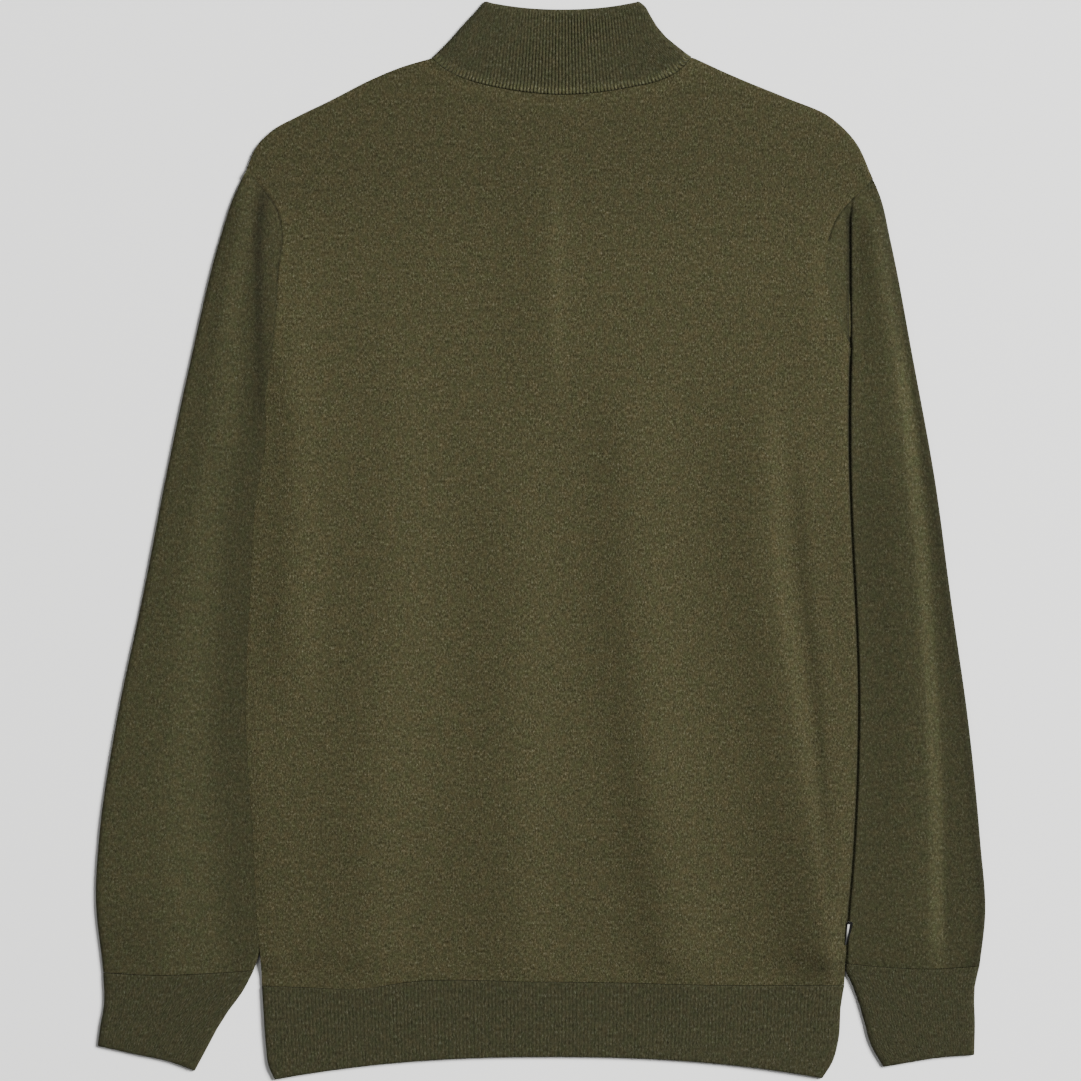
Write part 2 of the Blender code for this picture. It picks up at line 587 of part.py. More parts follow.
def make_cuffs():
    cuffs = (
        ("cuff_left", CUFF_LEFT_SEAM, CUFF_LEFT_END, CUFF_LEFT_OUTER, CUFF_LEFT_INNER),
        ("cuff_right", CUFF_RIGHT_SEAM, CUFF_RIGHT_END, CUFF_RIGHT_OUTER, CUFF_RIGHT_INNER),
    )
    for name, seam, end, outer, inner in cuffs:
        top_line = smooth_line(seam, BAND_STEPS) + DOWN
        bottom_line = smooth_line(end, BAND_STEPS)
        lines = (top_line, bottom_line, smooth_line(outer, BAND_EDGE_STEPS),
                 smooth_line(inner, BAND_EDGE_STEPS))
        make_band_tube(name, lines, lines[:2], CUFF_RIBS)


def make_hem():
    """The hem band in two halves, the ribbed back on the front."""
    top_line = HEM_LINE + DOWN
    bottom_line = arch_line(HEM_CENTRE, HEM_HALF, HEM_LOW, -HEM_DROP, HEM_POWER,
                            HEM_LEFT[-1, 0], HEM_RIGHT[-1, 0], BODY_STEPS)
    left = smooth_line(HEM_LEFT, BAND_EDGE_STEPS)
    right = smooth_line(HEM_RIGHT, BAND_EDGE_STEPS)
    fine = rib_shares(HEM_RIBS, HEM_MARGIN)
    coarse = with_edges(BODY_STEPS, HEM_MARGIN * 0.3, HEM_MARGIN)
    fine_grid = patch(top_line, bottom_line, left, right, fine, HEM_ROWS)
    coarse_grid = patch(top_line, bottom_line, left, right, coarse, HEM_ROWS)
    floor = np.zeros(coarse_grid.shape[:2])
    front_roof = floor + RIB_WALL
    front_roof[:, [0, -1]] = RIB_WALL * EDGE_SHARE
    panel("hem_front", coarse_grid, front_roof, coarse_grid, floor, "rib")
    underside = floor + RIB_WALL + BAND_AIR
    underside[:, [0, -1]] = RIB_WALL + EDGE_AIR
    roof = 2 * RIB_WALL + BAND_AIR + np.tile(rib_relief(HEM_RIBS), (len(HEM_ROWS), 1))
    roof[:, [0, -1]] = RIB_WALL * (1 + EDGE_SHARE) + EDGE_AIR
    panel("hem_back", fine_grid, roof, coarse_grid, underside, "rib")


def make_label():
    """A small blank folded label that stands out of the side seam."""
    mesh = bmesh.new()
    outline = LABEL_OUTLINE + np.array([LABEL_GAP, 0])
    rings = [[mesh.verts.new((x * MM, y * MM, z * MM)) for x, y in outline]
             for z in (LABEL_BASE, LABEL_BASE + LABEL_THICKNESS)]
    mesh.faces.new(rings[0])
    mesh.faces.new(rings[1])
    for index in range(len(outline)):
        after = (index + 1) % len(outline)
        mesh.faces.new((rings[0][index], rings[0][after], rings[1][after], rings[1][index]))
    make_object("side_label", mesh, "label")


# ---------------------------------------------------------------- build
for thing in list(bpy.data.objects):
    bpy.data.objects.remove(thing)

garment = bpy.data.collections.new("pullover")
bpy.context.scene.collection.children.link(garment)

materials = {}
for finish_name, finish in FINISHES.items():
    material = bpy.data.materials.new(finish_name)
    material.use_nodes = True
    shader = material.node_tree.nodes["Principled BSDF"]
    shader.inputs["Base Color"].default_value = (*finish.colour, 1)
    shader.inputs["Roughness"].default_value = finish.roughness
    shader.inputs["Metallic"].default_value = 0
    materials[finish_name] = material

LEFT = Side(-1, LEFT_ARMHOLE, LEFT_SIDE, smooth_line(OUTER_LEFT, OUTER_STEPS), CREST_LEFT,
            GROOVE_LEFT, GROOVE_HALF_LEFT)
RIGHT = Side(1, RIGHT_ARMHOLE, RIGHT_SIDE, smooth_line(OUTER_RIGHT, OUTER_STEPS), CREST_RIGHT,
             GROOVE_RIGHT, GROOVE_HALF_RIGHT)
make_body()
make_sleeve("sleeve_left", LEFT, HIDDEN_LEFT, smooth_line(CUFF_LEFT_SEAM, BAND_STEPS))
make_sleeve("sleeve_right", RIGHT, HIDDEN_RIGHT, smooth_line(CUFF_RIGHT_SEAM, BAND_STEPS))
make_collar()
make_cuffs()
make_hem()
make_label()
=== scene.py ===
"""Looks of the knitted pullover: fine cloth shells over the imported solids, lying flat.

X runs across the garment, Y from the hem to the collar, Z up. Tables and sizes are in
millimetres; points are written to the meshes in metres.
"""
import math
from collections import namedtuple

import bmesh
import bpy
import numpy as np
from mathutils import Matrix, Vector


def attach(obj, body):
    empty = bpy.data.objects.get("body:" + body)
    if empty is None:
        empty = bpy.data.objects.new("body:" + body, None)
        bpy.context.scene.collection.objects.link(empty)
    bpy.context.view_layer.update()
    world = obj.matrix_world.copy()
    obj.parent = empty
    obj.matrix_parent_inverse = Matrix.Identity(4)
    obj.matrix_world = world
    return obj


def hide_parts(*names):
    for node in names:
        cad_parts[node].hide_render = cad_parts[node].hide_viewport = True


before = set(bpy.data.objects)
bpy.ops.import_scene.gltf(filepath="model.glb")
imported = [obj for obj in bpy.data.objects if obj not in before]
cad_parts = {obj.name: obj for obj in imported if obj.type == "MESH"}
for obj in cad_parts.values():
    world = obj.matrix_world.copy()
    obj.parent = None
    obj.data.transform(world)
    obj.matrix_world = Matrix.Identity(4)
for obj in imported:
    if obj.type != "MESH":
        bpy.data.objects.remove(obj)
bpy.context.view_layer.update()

MM = 0.001

# -------- sizes
JERSEY = 1.2              # the plain knit's thickness
RIB_WALL = 1.9            # and the ribbed bands'
LAYER_AIR = 0.8           # the air between the body's layers
EDGE_AIR = 0.3            # and at their closed edges
PRESSED = 2.7             # a sleeve's height where the body lies on it
OVER_SLEEVE = 3.1         # and how far it lifts the body
BAND_AIR = 0.6            # the air between a band's walls
BAND_ROOF = 2 * RIB_WALL + BAND_AIR
BAND_GAP = 0.12           # from a seam line to its band
NECK = 14.8, 90.7         # centre and half width of the neck seam
RIM = 14.3, 54.0          # and of the collar's rim, with each arch's height, rise and power
BACK_RIM = 371.5, 5.6, 2.2
FRONT_RIM = 357.5, 19.6, 2.2
HEM = 8.0, 195.0          # the same for the hem's lower edge
HEM_EDGE = -361.2, -16.1, 2.3
RAMP_START = 36.0         # how far beyond a tucked sleeve the body starts to rise
RAMP_END = 13.0           # and where it has risen
SLEEVE_FOOT = -306.0
LABEL_LEVEL = 6.0
LABEL_WALL = 0.7
COLLAR_PITCH = 2.45       # from rib to rib, at the seam
COLLAR_LEAN = 0.145       # how much closer the ribs stand at the rim
HEM_PITCH = 2.58
CUFF_RIBS = 42
RIB_STITCHES = 2.5        # the cloth's millimetres for each rib, in the knit's pattern
COLLAR_HEIGHT = 61.0
RIB_CENTRE = 15.8         # the rib in the middle of the collar
NECK_LOW = 311.6
ARMHOLE_ROWS = 112        # rows of points along the armholes and along the sides
SIDE_ROWS = 210
FAR = 60                  # a distance too large to matter

Point = namedtuple("Point", "x y")
Crease = namedtuple("Crease", "x1 y1 x2 y2 x3 y3 x4 y4 rise left right")
Level = namedtuple("Level", "y value")
Cut = namedtuple("Cut", "width length area rests_on")


def points(*rows):
    return np.array([Point(*row) for row in rows], dtype=float)


def levels(*rows):
    return [Level(*row) for row in rows]


SHOULDER_LEFT = points(
    (-205.5, 259.7), (-199.5, 274), (-188, 286.5), (-170, 296.5), (-145, 308.6), (-119.4, 321.8),
    (-95, 331.8), (-76, 337.2))
SHOULDER_RIGHT = points(
    (105.5, 338.2), (111, 335.8), (125, 329.3), (141.8, 322), (173.3, 309.2), (203, 296.1),
    (220, 279.5), (232.8, 252.7))
NECK_SEAM = points(
    (-76, 337.2), (-70.4, 332), (-60.5, 325.8), (-50, 321.7), (-33, 317.2), (-12, 313.6),
    (15, 311.6), (42, 313.4), (65, 317.2), (82, 321), (93.8, 326.2), (100.5, 331.8), (105.5, 338.2))
FRONT_NECK_SEAM = points(
    (-76, 337.2), (-68, 312), (-42, 284), (15, 268.8), (72, 284), (98, 312), (105.5, 338.2))
ARMHOLE_LEFT = points(
    (-205.5, 259.7), (-192.5, 243.5), (-184.8, 232), (-181, 216), (-183.5, 190), (-186.5, 145),
    (-192.5, 98))
ARMHOLE_RIGHT = points(
    (232.8, 252.7), (217.5, 238.5), (206, 224), (200.8, 207), (201, 180), (208, 155), (216, 137.5))
SIDE_LEFT = points(
    (-192.5, 98), (-192, 75), (-199.2, 26.6), (-203.3, -45), (-206, -130), (-201.5, -200),
    (-198, -270), (-195.2, -300), (-194.8, -311.5))
SIDE_RIGHT = points(
    (216, 137.5), (215.1, 100), (215.2, 55), (217, 0), (219.5, -49), (221.2, -95), (221.2, -135),
    (219.2, -196), (216.4, -238), (214, -265), (212.6, -310.8))
OUTER_LEFT = points(
    (-205.5, 259.7), (-214, 242), (-224.5, 210), (-244.7, 126), (-262.5, 42), (-278.8, -42),
    (-296.5, -126), (-309, -210), (-311.1, -248), (-305.8, -302))
OUTER_RIGHT = points(
    (232.8, 252.7), (237.5, 241), (244.8, 210), (260.8, 126), (276, 42), (287.3, -42),
    (299.2, -126), (307.6, -210), (311.1, -262), (307.2, -297.3))
HIDDEN_LEFT = points(
    (-192.5, 98), (-180, 70), (-166, 30), (-160, -20), (-158, -70), (-163, -154), (-174, -220),
    (-190, -262), (-196, -287), (-200.6, -300.6))
HIDDEN_RIGHT = points(
    (216, 137.5), (196, 110), (176, 76), (170, 30), (172, -20), (182, -112), (192, -182),
    (203, -232), (209, -266), (211.3, -286), (213.7, -295.7))
HEM_SEAM = points(
    (-194.8, -311.5), (-166.9, -312.4), (-124.3, -313.4), (-94.9, -309), (0, -308.6), (64, -309.4),
    (120, -310.8), (212.6, -310.8))
HEM_LEFT = points((-194.8, -311.8), (-193.7, -330), (-192, -354), (-190, -368), (-185.9, -377.1))
HEM_RIGHT = points((212.6, -311.1), (210.5, -322), (208.3, -350), (204.5, -364), (197.1, -376.2))
COLLAR_LEFT = points(
    (-76, 337.5), (-70.4, 343), (-63.4, 350), (-53.6, 361.2), (-44, 371.5), (-39.4, 377.1))
COLLAR_RIGHT = points(
    (105.5, 338.5), (100.5, 341.9), (94.9, 346.5), (87.9, 352.3), (80.9, 360.7), (76.7, 367.7),
    (73.2, 373.8), (69, 377.1))
CUFF_LEFT_OUTER = points((-305.8, -302.5), (-305.4, -325), (-308, -340), (-309.8, -353.5))
CUFF_LEFT_INNER = points(
    (-200.6, -300.9), (-207.6, -314.3), (-221.6, -333.9), (-237, -362), (-241.9, -371))
CUFF_LEFT_END = points((-309.8, -353.5), (-283.2, -359.4), (-258, -365), (-241.9, -371))
CUFF_LEFT_SEAM = points((-305.8, -302), (-270, -303.8), (-235, -302.8), (-200.6, -300.6))
CUFF_RIGHT_OUTER = points((307.2, -297.6), (304.2, -310), (304, -340), (303.5, -359.8))
CUFF_RIGHT_INNER = points(
    (213.7, -296), (213.3, -300.4), (216.8, -308), (220.9, -318), (225.8, -333.9), (231, -352.5),
    (239.8, -368.2))
CUFF_RIGHT_END = points((303.5, -359.8), (277.6, -361.9), (258.7, -364.9), (239.8, -368.2))
CUFF_RIGHT_SEAM = points((307.2, -297.3), (270, -299.4), (240, -298.2), (213.7, -295.7))

LABEL_TOP = points((214.1, -266.6), (216, -266.4), (218.4, -267))
LABEL_LEFT = points((214.1, -266.6), (213.5, -274), (212.6, -282.2))
LABEL_RIGHT = points((218.4, -267), (216.7, -274), (214.0, -282.4))
LABEL_BOTTOM = points((212.6, -282.2), (213.3, -282.4), (214.0, -282.4))

# Soft creases: four points along each crest, its rise, and its width on either side.
BODY_CREASES = [
    Crease(-177, 200, -176, 98, -173, 10, -172, -100, 2.3, 22, 15),
    Crease(-104, 150, -103, 0, -115, -140, -122, -300, 2.0, 24, 24),
    Crease(-18, 60, -18, -60, -19, -200, -16, -305, 2.0, 28, 22),
    Crease(62, 112, 63, 0, 73, -140, 94, -300, 3.5, 23, 29),
    Crease(155, 95, 160, -20, 178, -140, 200, -294, 3.4, 27, 10),
    Crease(184, 70, 187, 0, 198, -112, 208, -260, 1.5, 7, 12),
    Crease(6, 262, 6, 200, 6, 160, 7, 115, 2.5, 28, 8),
    Crease(189, 235, 190, 200, 191, 150, 191, 110, 0.9, 16, 9),
]
SLIT = levels((137, 216.3), (224, 216.0), (238, 217.3), (246, 220))
CREST_LEFT = levels(
    (-300, 264), (-182, 265), (-56, 253), (63, 237), (168, 222), (230, 210), (260, 206))
CREST_RIGHT = levels(
    (-300, 271), (-182, 270), (-112, 267), (-7, 260), (98, 249), (203, 235), (253, 231))
CUFF_TUCK = 239.6, -291.5, -298.0     # a short fold in the right sleeve above its cuff
UNDERARM_FOLD = levels(
    (60, 199), (98, 196.4), (140, 197.0), (206, 197.4), (222, 196.5), (238, 194), (250, 192))
UNDERARM_SHADE = levels((60, 0), (98, 0.24), (150, 0.42), (210, 0.50), (240, 0.46), (258, 0))


# -------- lines and grids
def smooth_line(rows, steps):
    """A smooth line through the rows, as steps + 1 points evenly along it."""
    rows = np.asarray(rows)
    chords = np.hypot(*np.diff(rows, axis=0).T)
    place = np.concatenate([[0], np.cumsum(chords)])
    slope = np.gradient(rows, place, axis=0)
    fine = np.linspace(0, place[-1], 40 * len(rows))
    index = np.clip(np.searchsorted(place, fine) - 1, 0, len(chords) - 1)
    part = ((fine - place[index]) / chords[index])[:, None]
    span = chords[index][:, None]
    curve = ((2 * part**3 - 3 * part**2 + 1) * rows[index]
             + (part**3 - 2 * part**2 + part) * span * slope[index]
             + (3 * part**2 - 2 * part**3) * rows[index + 1]
             + (part**3 - part**2) * span * slope[index + 1])
    along = np.concatenate([[0], np.cumsum(np.hypot(*np.diff(curve, axis=0).T))])
    even = np.linspace(0, along[-1], steps + 1)
    return np.column_stack([np.interp(even, along, curve[:, axis]) for axis in (0, 1)])


def arch_line(place, arch, start, end, steps):
    """Points across an arch that is lowest, or highest, at its centre."""
    centre, half = place
    low, rise, power = arch
    across = np.linspace(start, end, steps + 1)
    return np.column_stack([across, low + rise * np.abs((across - centre) / half) ** power])


def join(*lines):
    return np.concatenate([lines[0]] + [line[1:] for line in lines[1:]])


def on_line(line, share):
    place = np.asarray(share) * (len(line) - 1)
    index = np.clip(place.astype(int), 0, len(line) - 2)
    part = (place - index)[:, None]
    return line[index] * (1 - part) + line[index + 1] * part


def patch(top, bottom, left, right, across, down):
    """A grid of points between four lines: rows run down, columns across."""
    u = np.asarray(across)[None, :, None]
    v = np.asarray(down)[:, None, None]
    corners = ((1 - u) * (1 - v) * top[0] + u * (1 - v) * top[-1]
               + (1 - u) * v * bottom[0] + u * v * bottom[-1])
    return ((1 - v) * on_line(top, across)[None] + v * on_line(bottom, across)[None]
            + (1 - u) * on_line(left, down)[:, None] + u * on_line(right, down)[:, None]
            - corners)


def shares(steps, edge_share, edge_steps):
    """Even shares from 0 to 1, with more of them close to each end."""
    edge = edge_share * (1 - np.cos(np.linspace(0, math.pi / 2, edge_steps + 1)))
    inner = np.linspace(edge_share, 1 - edge_share, steps + 1)
    return np.concatenate([edge[:-1], inner, 1 - edge[-2::-1]])


def ease(value):
    """0 below 0, 1 above 1 and smooth between."""
    value = np.clip(value, 0, 1)
    return value * value * (3 - 2 * value)


def between(value, start, end):
    """The same, from 0 at start to 1 at end."""
    return ease((value - start) / np.maximum(end - start, 0.1))


def bell(distance, width):
    """1 at no distance, and less on both sides."""
    return np.exp(-((distance / width) ** 2))


def gap(first, second):
    """The distances between two grids' points."""
    return np.hypot(*np.moveaxis(first - second, -1, 0))


def level(table, y):
    return np.interp(y, [row.y for row in table], [row.value for row in table])


def x_at(line, y):
    """Where a line that runs downwards crosses y."""
    return np.interp(y, line[::-1, 1], line[::-1, 0])


def distance_to(line, grid):
    """The distance of each point of a grid from a line."""
    fine = smooth_line(line, 500)
    flat = grid.reshape(-1, 2)
    nearest = np.empty(len(flat))
    at_once = 4000
    for start in range(0, len(flat), at_once):
        apart = flat[start:start + at_once, None] - fine[None]
        nearest[start:start + at_once] = np.sqrt((apart**2).sum(-1).min(-1))
    return nearest.reshape(grid.shape[:-1])


def rounded(distance, radius):
    """0 at an edge, 1 a radius in, along a quarter circle."""
    inward = np.clip(distance / radius, 0, 1)
    return np.sqrt(1 - (1 - inward) ** 2)


def unevenness(grid, size, seed):
    """A soft random swell from -1 to 1, with hollows about size apart."""
    x, y = grid[..., 0], grid[..., 1]
    rng = np.random.default_rng(seed)
    swell = np.zeros_like(x)
    for _ in range(9):
        angle = rng.uniform(0, math.pi)
        length = size * rng.uniform(0.7, 1.6)
        phase = rng.uniform(0, 2 * math.pi)
        swell += np.sin(2 * math.pi * (x * math.cos(angle) + y * math.sin(angle)) / length + phase)
    return swell / 5


# -------- seam lines
LEFT_SHOULDER = smooth_line(SHOULDER_LEFT, 64)
RIGHT_SHOULDER = smooth_line(SHOULDER_RIGHT, 64)
LEFT_ARMHOLE = smooth_line(ARMHOLE_LEFT, ARMHOLE_ROWS)
RIGHT_ARMHOLE = smooth_line(ARMHOLE_RIGHT, ARMHOLE_ROWS)
LEFT_SIDE = smooth_line(SIDE_LEFT, SIDE_ROWS)
RIGHT_SIDE = smooth_line(SIDE_RIGHT, SIDE_ROWS)
LEFT_UNDERARM = LEFT_ARMHOLE[-1, 1]
RIGHT_UNDERARM = RIGHT_ARMHOLE[-1, 1]
NECK_ENDS = NECK[0] - NECK[1], NECK[0] + NECK[1]
BACK_NECK_LINE = smooth_line(NECK_SEAM, 96)
FRONT_NECK_LINE = smooth_line(FRONT_NECK_SEAM, 96)
HEM_LINE = smooth_line(HEM_SEAM, 224)


# -------- heights
def bed(grid, start=RAMP_START, above=30, underarm_fade=26, foot_fade=16):
    """The height that the body lies at, over the tucked sleeves."""
    x, y = grid[..., 0], grid[..., 1]
    height = np.zeros_like(x)
    for sign, line, underarm in ((-1, HIDDEN_LEFT, LEFT_UNDERARM), (1, HIDDEN_RIGHT, RIGHT_UNDERARM)):
        inside = sign * (x - x_at(line, y))
        risen = ease((inside + start) / (start - RAMP_END))
        sleeve = ease((underarm + above - y) / underarm_fade)
        height += OVER_SLEEVE * risen * sleeve * ease((y - SLEEVE_FOOT) / foot_fade)
    return height


def soft_bed(grid):
    """The same for the upper side, where the step is spread out by the cloth between."""
    return bed(grid, 110, 80, 110, 26)


def crease_rise(grid, creases):
    """Soft folds that grow downwards and are held flat again at the hem's seam."""
    x, y = grid[..., 0], grid[..., 1]
    rise = np.zeros_like(x)
    growth = (1 + 0.42 * ease((40 - y) / 150)) * (0.3 + 0.7 * ease((y + 313) / 26))
    for row in creases:
        stations = [row.y4, row.y3, row.y2, row.y1]
        crest = np.interp(y, stations, [row.x4, row.x3, row.x2, row.x1])
        fade = growth * ease((row.y1 + 40 - y) / 100)
        if row.y4 > -280:
            fade = fade * ease((y - row.y4 + 40) / 90)
        off = x - crest
        width = np.where(off < 0, row.left, row.right)
        rise += row.rise * fade * bell(off, width)
    return rise


def body_sides(grid):
    """Distance from the folded side edges, large beside the armholes."""
    x, y = grid[..., 0], grid[..., 1]
    left = x - x_at(LEFT_SIDE, y) + FAR * ease((y - LEFT_UNDERARM) / 40)
    right = x_at(RIGHT_SIDE, y) - x + FAR * ease((y - RIGHT_UNDERARM) / 40)
    return np.minimum(left, right)


def body_shoulders(grid):
    """Distance below the shoulder edges, large under the neck."""
    x, y = grid[..., 0], grid[..., 1]
    seam = join(LEFT_SHOULDER, BACK_NECK_LINE, RIGHT_SHOULDER)
    under_neck = (x > NECK_ENDS[0] + 1) & (x < NECK_ENDS[1] - 1)
    return np.where(under_neck, FAR, np.interp(x, seam[:, 0], seam[:, 1]) - y)


def folded_edge(grid):
    return np.minimum(body_sides(grid), body_shoulders(grid))


def over_collar(grid, soft=1.0):
    """How far the collar band's front lifts the back panel."""
    across = np.abs(grid[..., 0] - NECK[0]) / NECK[1]
    below = ease((grid[..., 1] - 266 + 8 * soft) / (8 * soft))
    return (RIB_WALL - JERSEY) * ease((1.05 + 0.1 * soft - across) / (0.1 * soft)) * below


def fold_lift(grid):
    """The air and the folds between the body's layers, which end at its closed edges."""
    x, y = grid[..., 0], grid[..., 1]
    edge = ease(folded_edge(grid) / 10)
    from_left = x - x_at(LEFT_SIDE, y) + 46 * ease((y - LEFT_UNDERARM + 15) / 110)
    room = np.minimum(edge, ease(from_left / 26))
    return EDGE_AIR + (LAYER_AIR - EDGE_AIR) * edge + crease_rise(grid, BODY_CREASES) * room


def back_level(grid):
    """The plain upper side of the back panel, with its creases and without its seams."""
    low = np.maximum(bed(grid), soft_bed(grid))
    return low + 2 * JERSEY + over_collar(grid, 12.0) + fold_lift(grid)


def back_underside(grid):
    return bed(grid) + JERSEY + over_collar(grid) + fold_lift(grid)


# -------- meshes
class Cloth:
    """Skins of points that become one mesh, with their place on the cloth and the painted light and
    shade on them.
    """

    def __init__(self):
        self.points = []
        self.places = []
        self.painted_light_parts = []
        self.faces = []
        self.count = 0

    def skin(self, grid, heights, places=None, tone=None):
        rows, columns = heights.shape
        index = np.arange(rows * columns).reshape(rows, columns) + self.count
        self.points.append(np.dstack([grid, heights]).reshape(-1, 3) * MM)
        self.places.append((grid if places is None else places).reshape(-1, 2))
        self.painted_light_parts.append((np.ones_like(heights) if tone is None else tone).ravel())
        self.count += rows * columns
        quads = np.stack([index[:-1, :-1], index[1:, :-1], index[1:, 1:], index[:-1, 1:]], axis=-1)
        self.faces += quads.reshape(-1, 4).tolist()
        return index

    def stitch(self, first, second):
        """Faces between two rows that run the same way, however many points each has."""
        if len(first) == len(second):
            for a in range(len(first) - 1):
                self.faces.append((first[a], first[a + 1], second[a + 1], second[a]))
            return
        first_share = np.linspace(0, 1, len(first))
        second_share = np.linspace(0, 1, len(second))
        a = b = 0
        while a < len(first) - 1 or b < len(second) - 1:
            first_next = first_share[a + 1] if a < len(first) - 1 else 2
            second_next = second_share[b + 1] if b < len(second) - 1 else 2
            if first_next <= second_next:
                self.faces.append((first[a], first[a + 1], second[b]))
                a += 1
            else:
                self.faces.append((first[a], second[b + 1], second[b]))
                b += 1

    def make(self, name, material, slot, *nodes):
        mesh = bpy.data.meshes.new(name)
        mesh.from_pydata(np.concatenate(self.points).tolist(), [], self.faces)
        places = np.concatenate(self.places)
        # The painted light and shade, one value for each point, that the materials multiply into the
        # colour.
        tone = mesh.attributes.new("tone", "FLOAT", "POINT")
        tone.data.foreach_set("value", np.concatenate(self.painted_light_parts))
        corner = np.empty(len(mesh.loops), dtype=int)
        mesh.loops.foreach_get("vertex_index", corner)
        layer = mesh.uv_layers.new(name="cloth")
        layer.data.foreach_set("uv", places[corner].ravel())
        work = bmesh.new()
        work.from_mesh(mesh)
        bmesh.ops.recalc_face_normals(work, faces=work.faces)
        work.to_mesh(mesh)
        work.free()
        mesh.shade_smooth()
        mesh.set_sharp_from_angle(angle=math.radians(62))
        mesh.materials.append(material)
        piece = bpy.data.objects.new(name, mesh)
        bpy.context.scene.collection.objects.link(piece)
        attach(piece, "root")
        if nodes:
            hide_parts(*nodes)
        return piece


def panel(name, top_skin, under_skin, material, slot, node):
    cloth = Cloth()
    top = cloth.skin(*top_skin)
    under = cloth.skin(*under_skin)
    cloth.stitch(top[0], under[0])
    cloth.stitch(top[-1], under[-1])
    cloth.stitch(top[:, 0], under[:, 0])
    cloth.stitch(top[:, -1], under[:, -1])
    return cloth.make(name, material, slot, node)


def tube(name, skins, open_rows, material, slot, node):
    """A flattened tube of four skins: outer top and bottom, inner top and bottom.

    open_rows holds, for the top's and for the other skins' rows, where the last column closes.
    """
    cloth = Cloth()
    four = [cloth.skin(*skin) for skin in skins]
    top, bottom, inner_top, inner_bottom = four
    ring = top, inner_top, inner_bottom, bottom

    def fold(a, b, c, d):
        cloth.stitch(a, b)
        cloth.stitch(c, d)

    def opening(a, b, c, d):
        cloth.stitch(a, c)
        cloth.stitch(b, d)

    def corner(row, column):
        cloth.faces.append([skin[row][column] for skin in ring])

    fold(*[skin[:, 0] for skin in four])
    opening(*[skin[-1] for skin in four])
    corner(-1, 0)
    corner(-1, -1)
    if open_rows:
        fold(*[skin[0] for skin in four])
        ends = [open_rows[0]] + [open_rows[1]] * 3
        opening(*[skin[:end + 1, -1] for skin, end in zip(four, ends)])
        fold(*[skin[end:, -1] for skin, end in zip(four, ends)])
        corner(0, -1)
        cloth.faces.append([skin[end][-1] for skin, end in zip(ring, ends)])
    else:
        fold(*[skin[:, -1] for skin in four])
        opening(*[skin[0] for skin in four])
        corner(0, 0)
        corner(0, -1)
    return cloth.make(name, material, slot, node)


# -------- materials
class Nodes:
    """Short ways to build one material's nodes."""

    def __init__(self, name, roughness, sheen, sheen_tint):
        self.material = bpy.data.materials.new(name)
        self.material.use_nodes = True
        self.tree = self.material.node_tree
        self.shader = self.tree.nodes["Principled BSDF"]
        surface = {"Roughness": roughness, "Specular IOR Level": 0.12, "Sheen Weight": sheen,
                   "Sheen Roughness": 0.6, "Sheen Tint": (*sheen_tint, 1)}
        for socket, value in surface.items():
            self.put(self.shader.inputs[socket], value)

    def put(self, socket, value):
        if isinstance(value, bpy.types.NodeSocket):
            self.tree.links.new(value, socket)
        else:
            socket.default_value = value

    def add(self, kind, **inputs):
        node = self.tree.nodes.new("ShaderNode" + kind)
        for socket, value in inputs.items():
            self.put(node.inputs[socket], value)
        return node

    def place(self):
        """Where a point lies on the cloth, in millimetres."""
        node = self.add("UVMap")
        node.uv_map = "cloth"
        return node.outputs["UV"]

    def math(self, operation, *values):
        node = self.add("Math")
        node.operation = operation
        for socket, value in zip(node.inputs, values):
            self.put(socket, value)
        return node.outputs[0]

    def noise(self, vector, scale, detail=2.0, rough=0.5):
        node = self.add("TexNoise", Vector=vector, Scale=scale, Detail=detail, Roughness=rough)
        return node.outputs["Fac"]

    def stretch(self, vector, scale, offset=(0, 0, 0)):
        return self.add("Mapping", Vector=vector, Scale=scale, Location=offset).outputs["Vector"]

    def ramp(self, value, *stops):
        node = self.add("ValToRGB", Fac=value)
        ramp = node.color_ramp
        while len(ramp.elements) < len(stops):
            ramp.elements.new(0.5)
        for element, (place, colour) in zip(ramp.elements, stops):
            element.position = place
            element.color = (*colour, 1)
        return node.outputs["Color"]

    def mix(self, blend, factor, first, second):
        node = self.add("Mix")
        node.data_type = "RGBA"
        node.blend_type = blend
        self.put(node.inputs["Factor"], factor)
        self.put(node.inputs["A"], first)
        self.put(node.inputs["B"], second)
        for socket in node.outputs:
            if socket.type == "RGBA":
                return socket

    def grey(self, value):
        node = self.add("CombineColor")
        for socket in node.inputs[:3]:
            self.put(socket, value)
        return node.outputs["Color"]

    # The points' painted light and shade, as a grey that multiplies a colour.
    def tone(self):
        node = self.add("Attribute")
        node.attribute_name = "tone"
        return self.grey(node.outputs["Fac"])

    def bump(self, height, distance, strength):
        node = self.add("Bump", Height=height, Distance=distance, Strength=strength)
        self.put(self.shader.inputs["Normal"], node.outputs["Normal"])


# How light the yarn's mixed fibres are, as a share of its colour, around the middle of a noise.
# Light fibres are greyer than dark ones: blue follows the share more steeply than red.
MELANGE = [(-0.20, 0.15), (-0.09, 0.53), (0.0, 1.0), (0.09, 1.62), (0.20, 3.2)]
SHARE_POWERS = 1.0, 1.04, 1.5


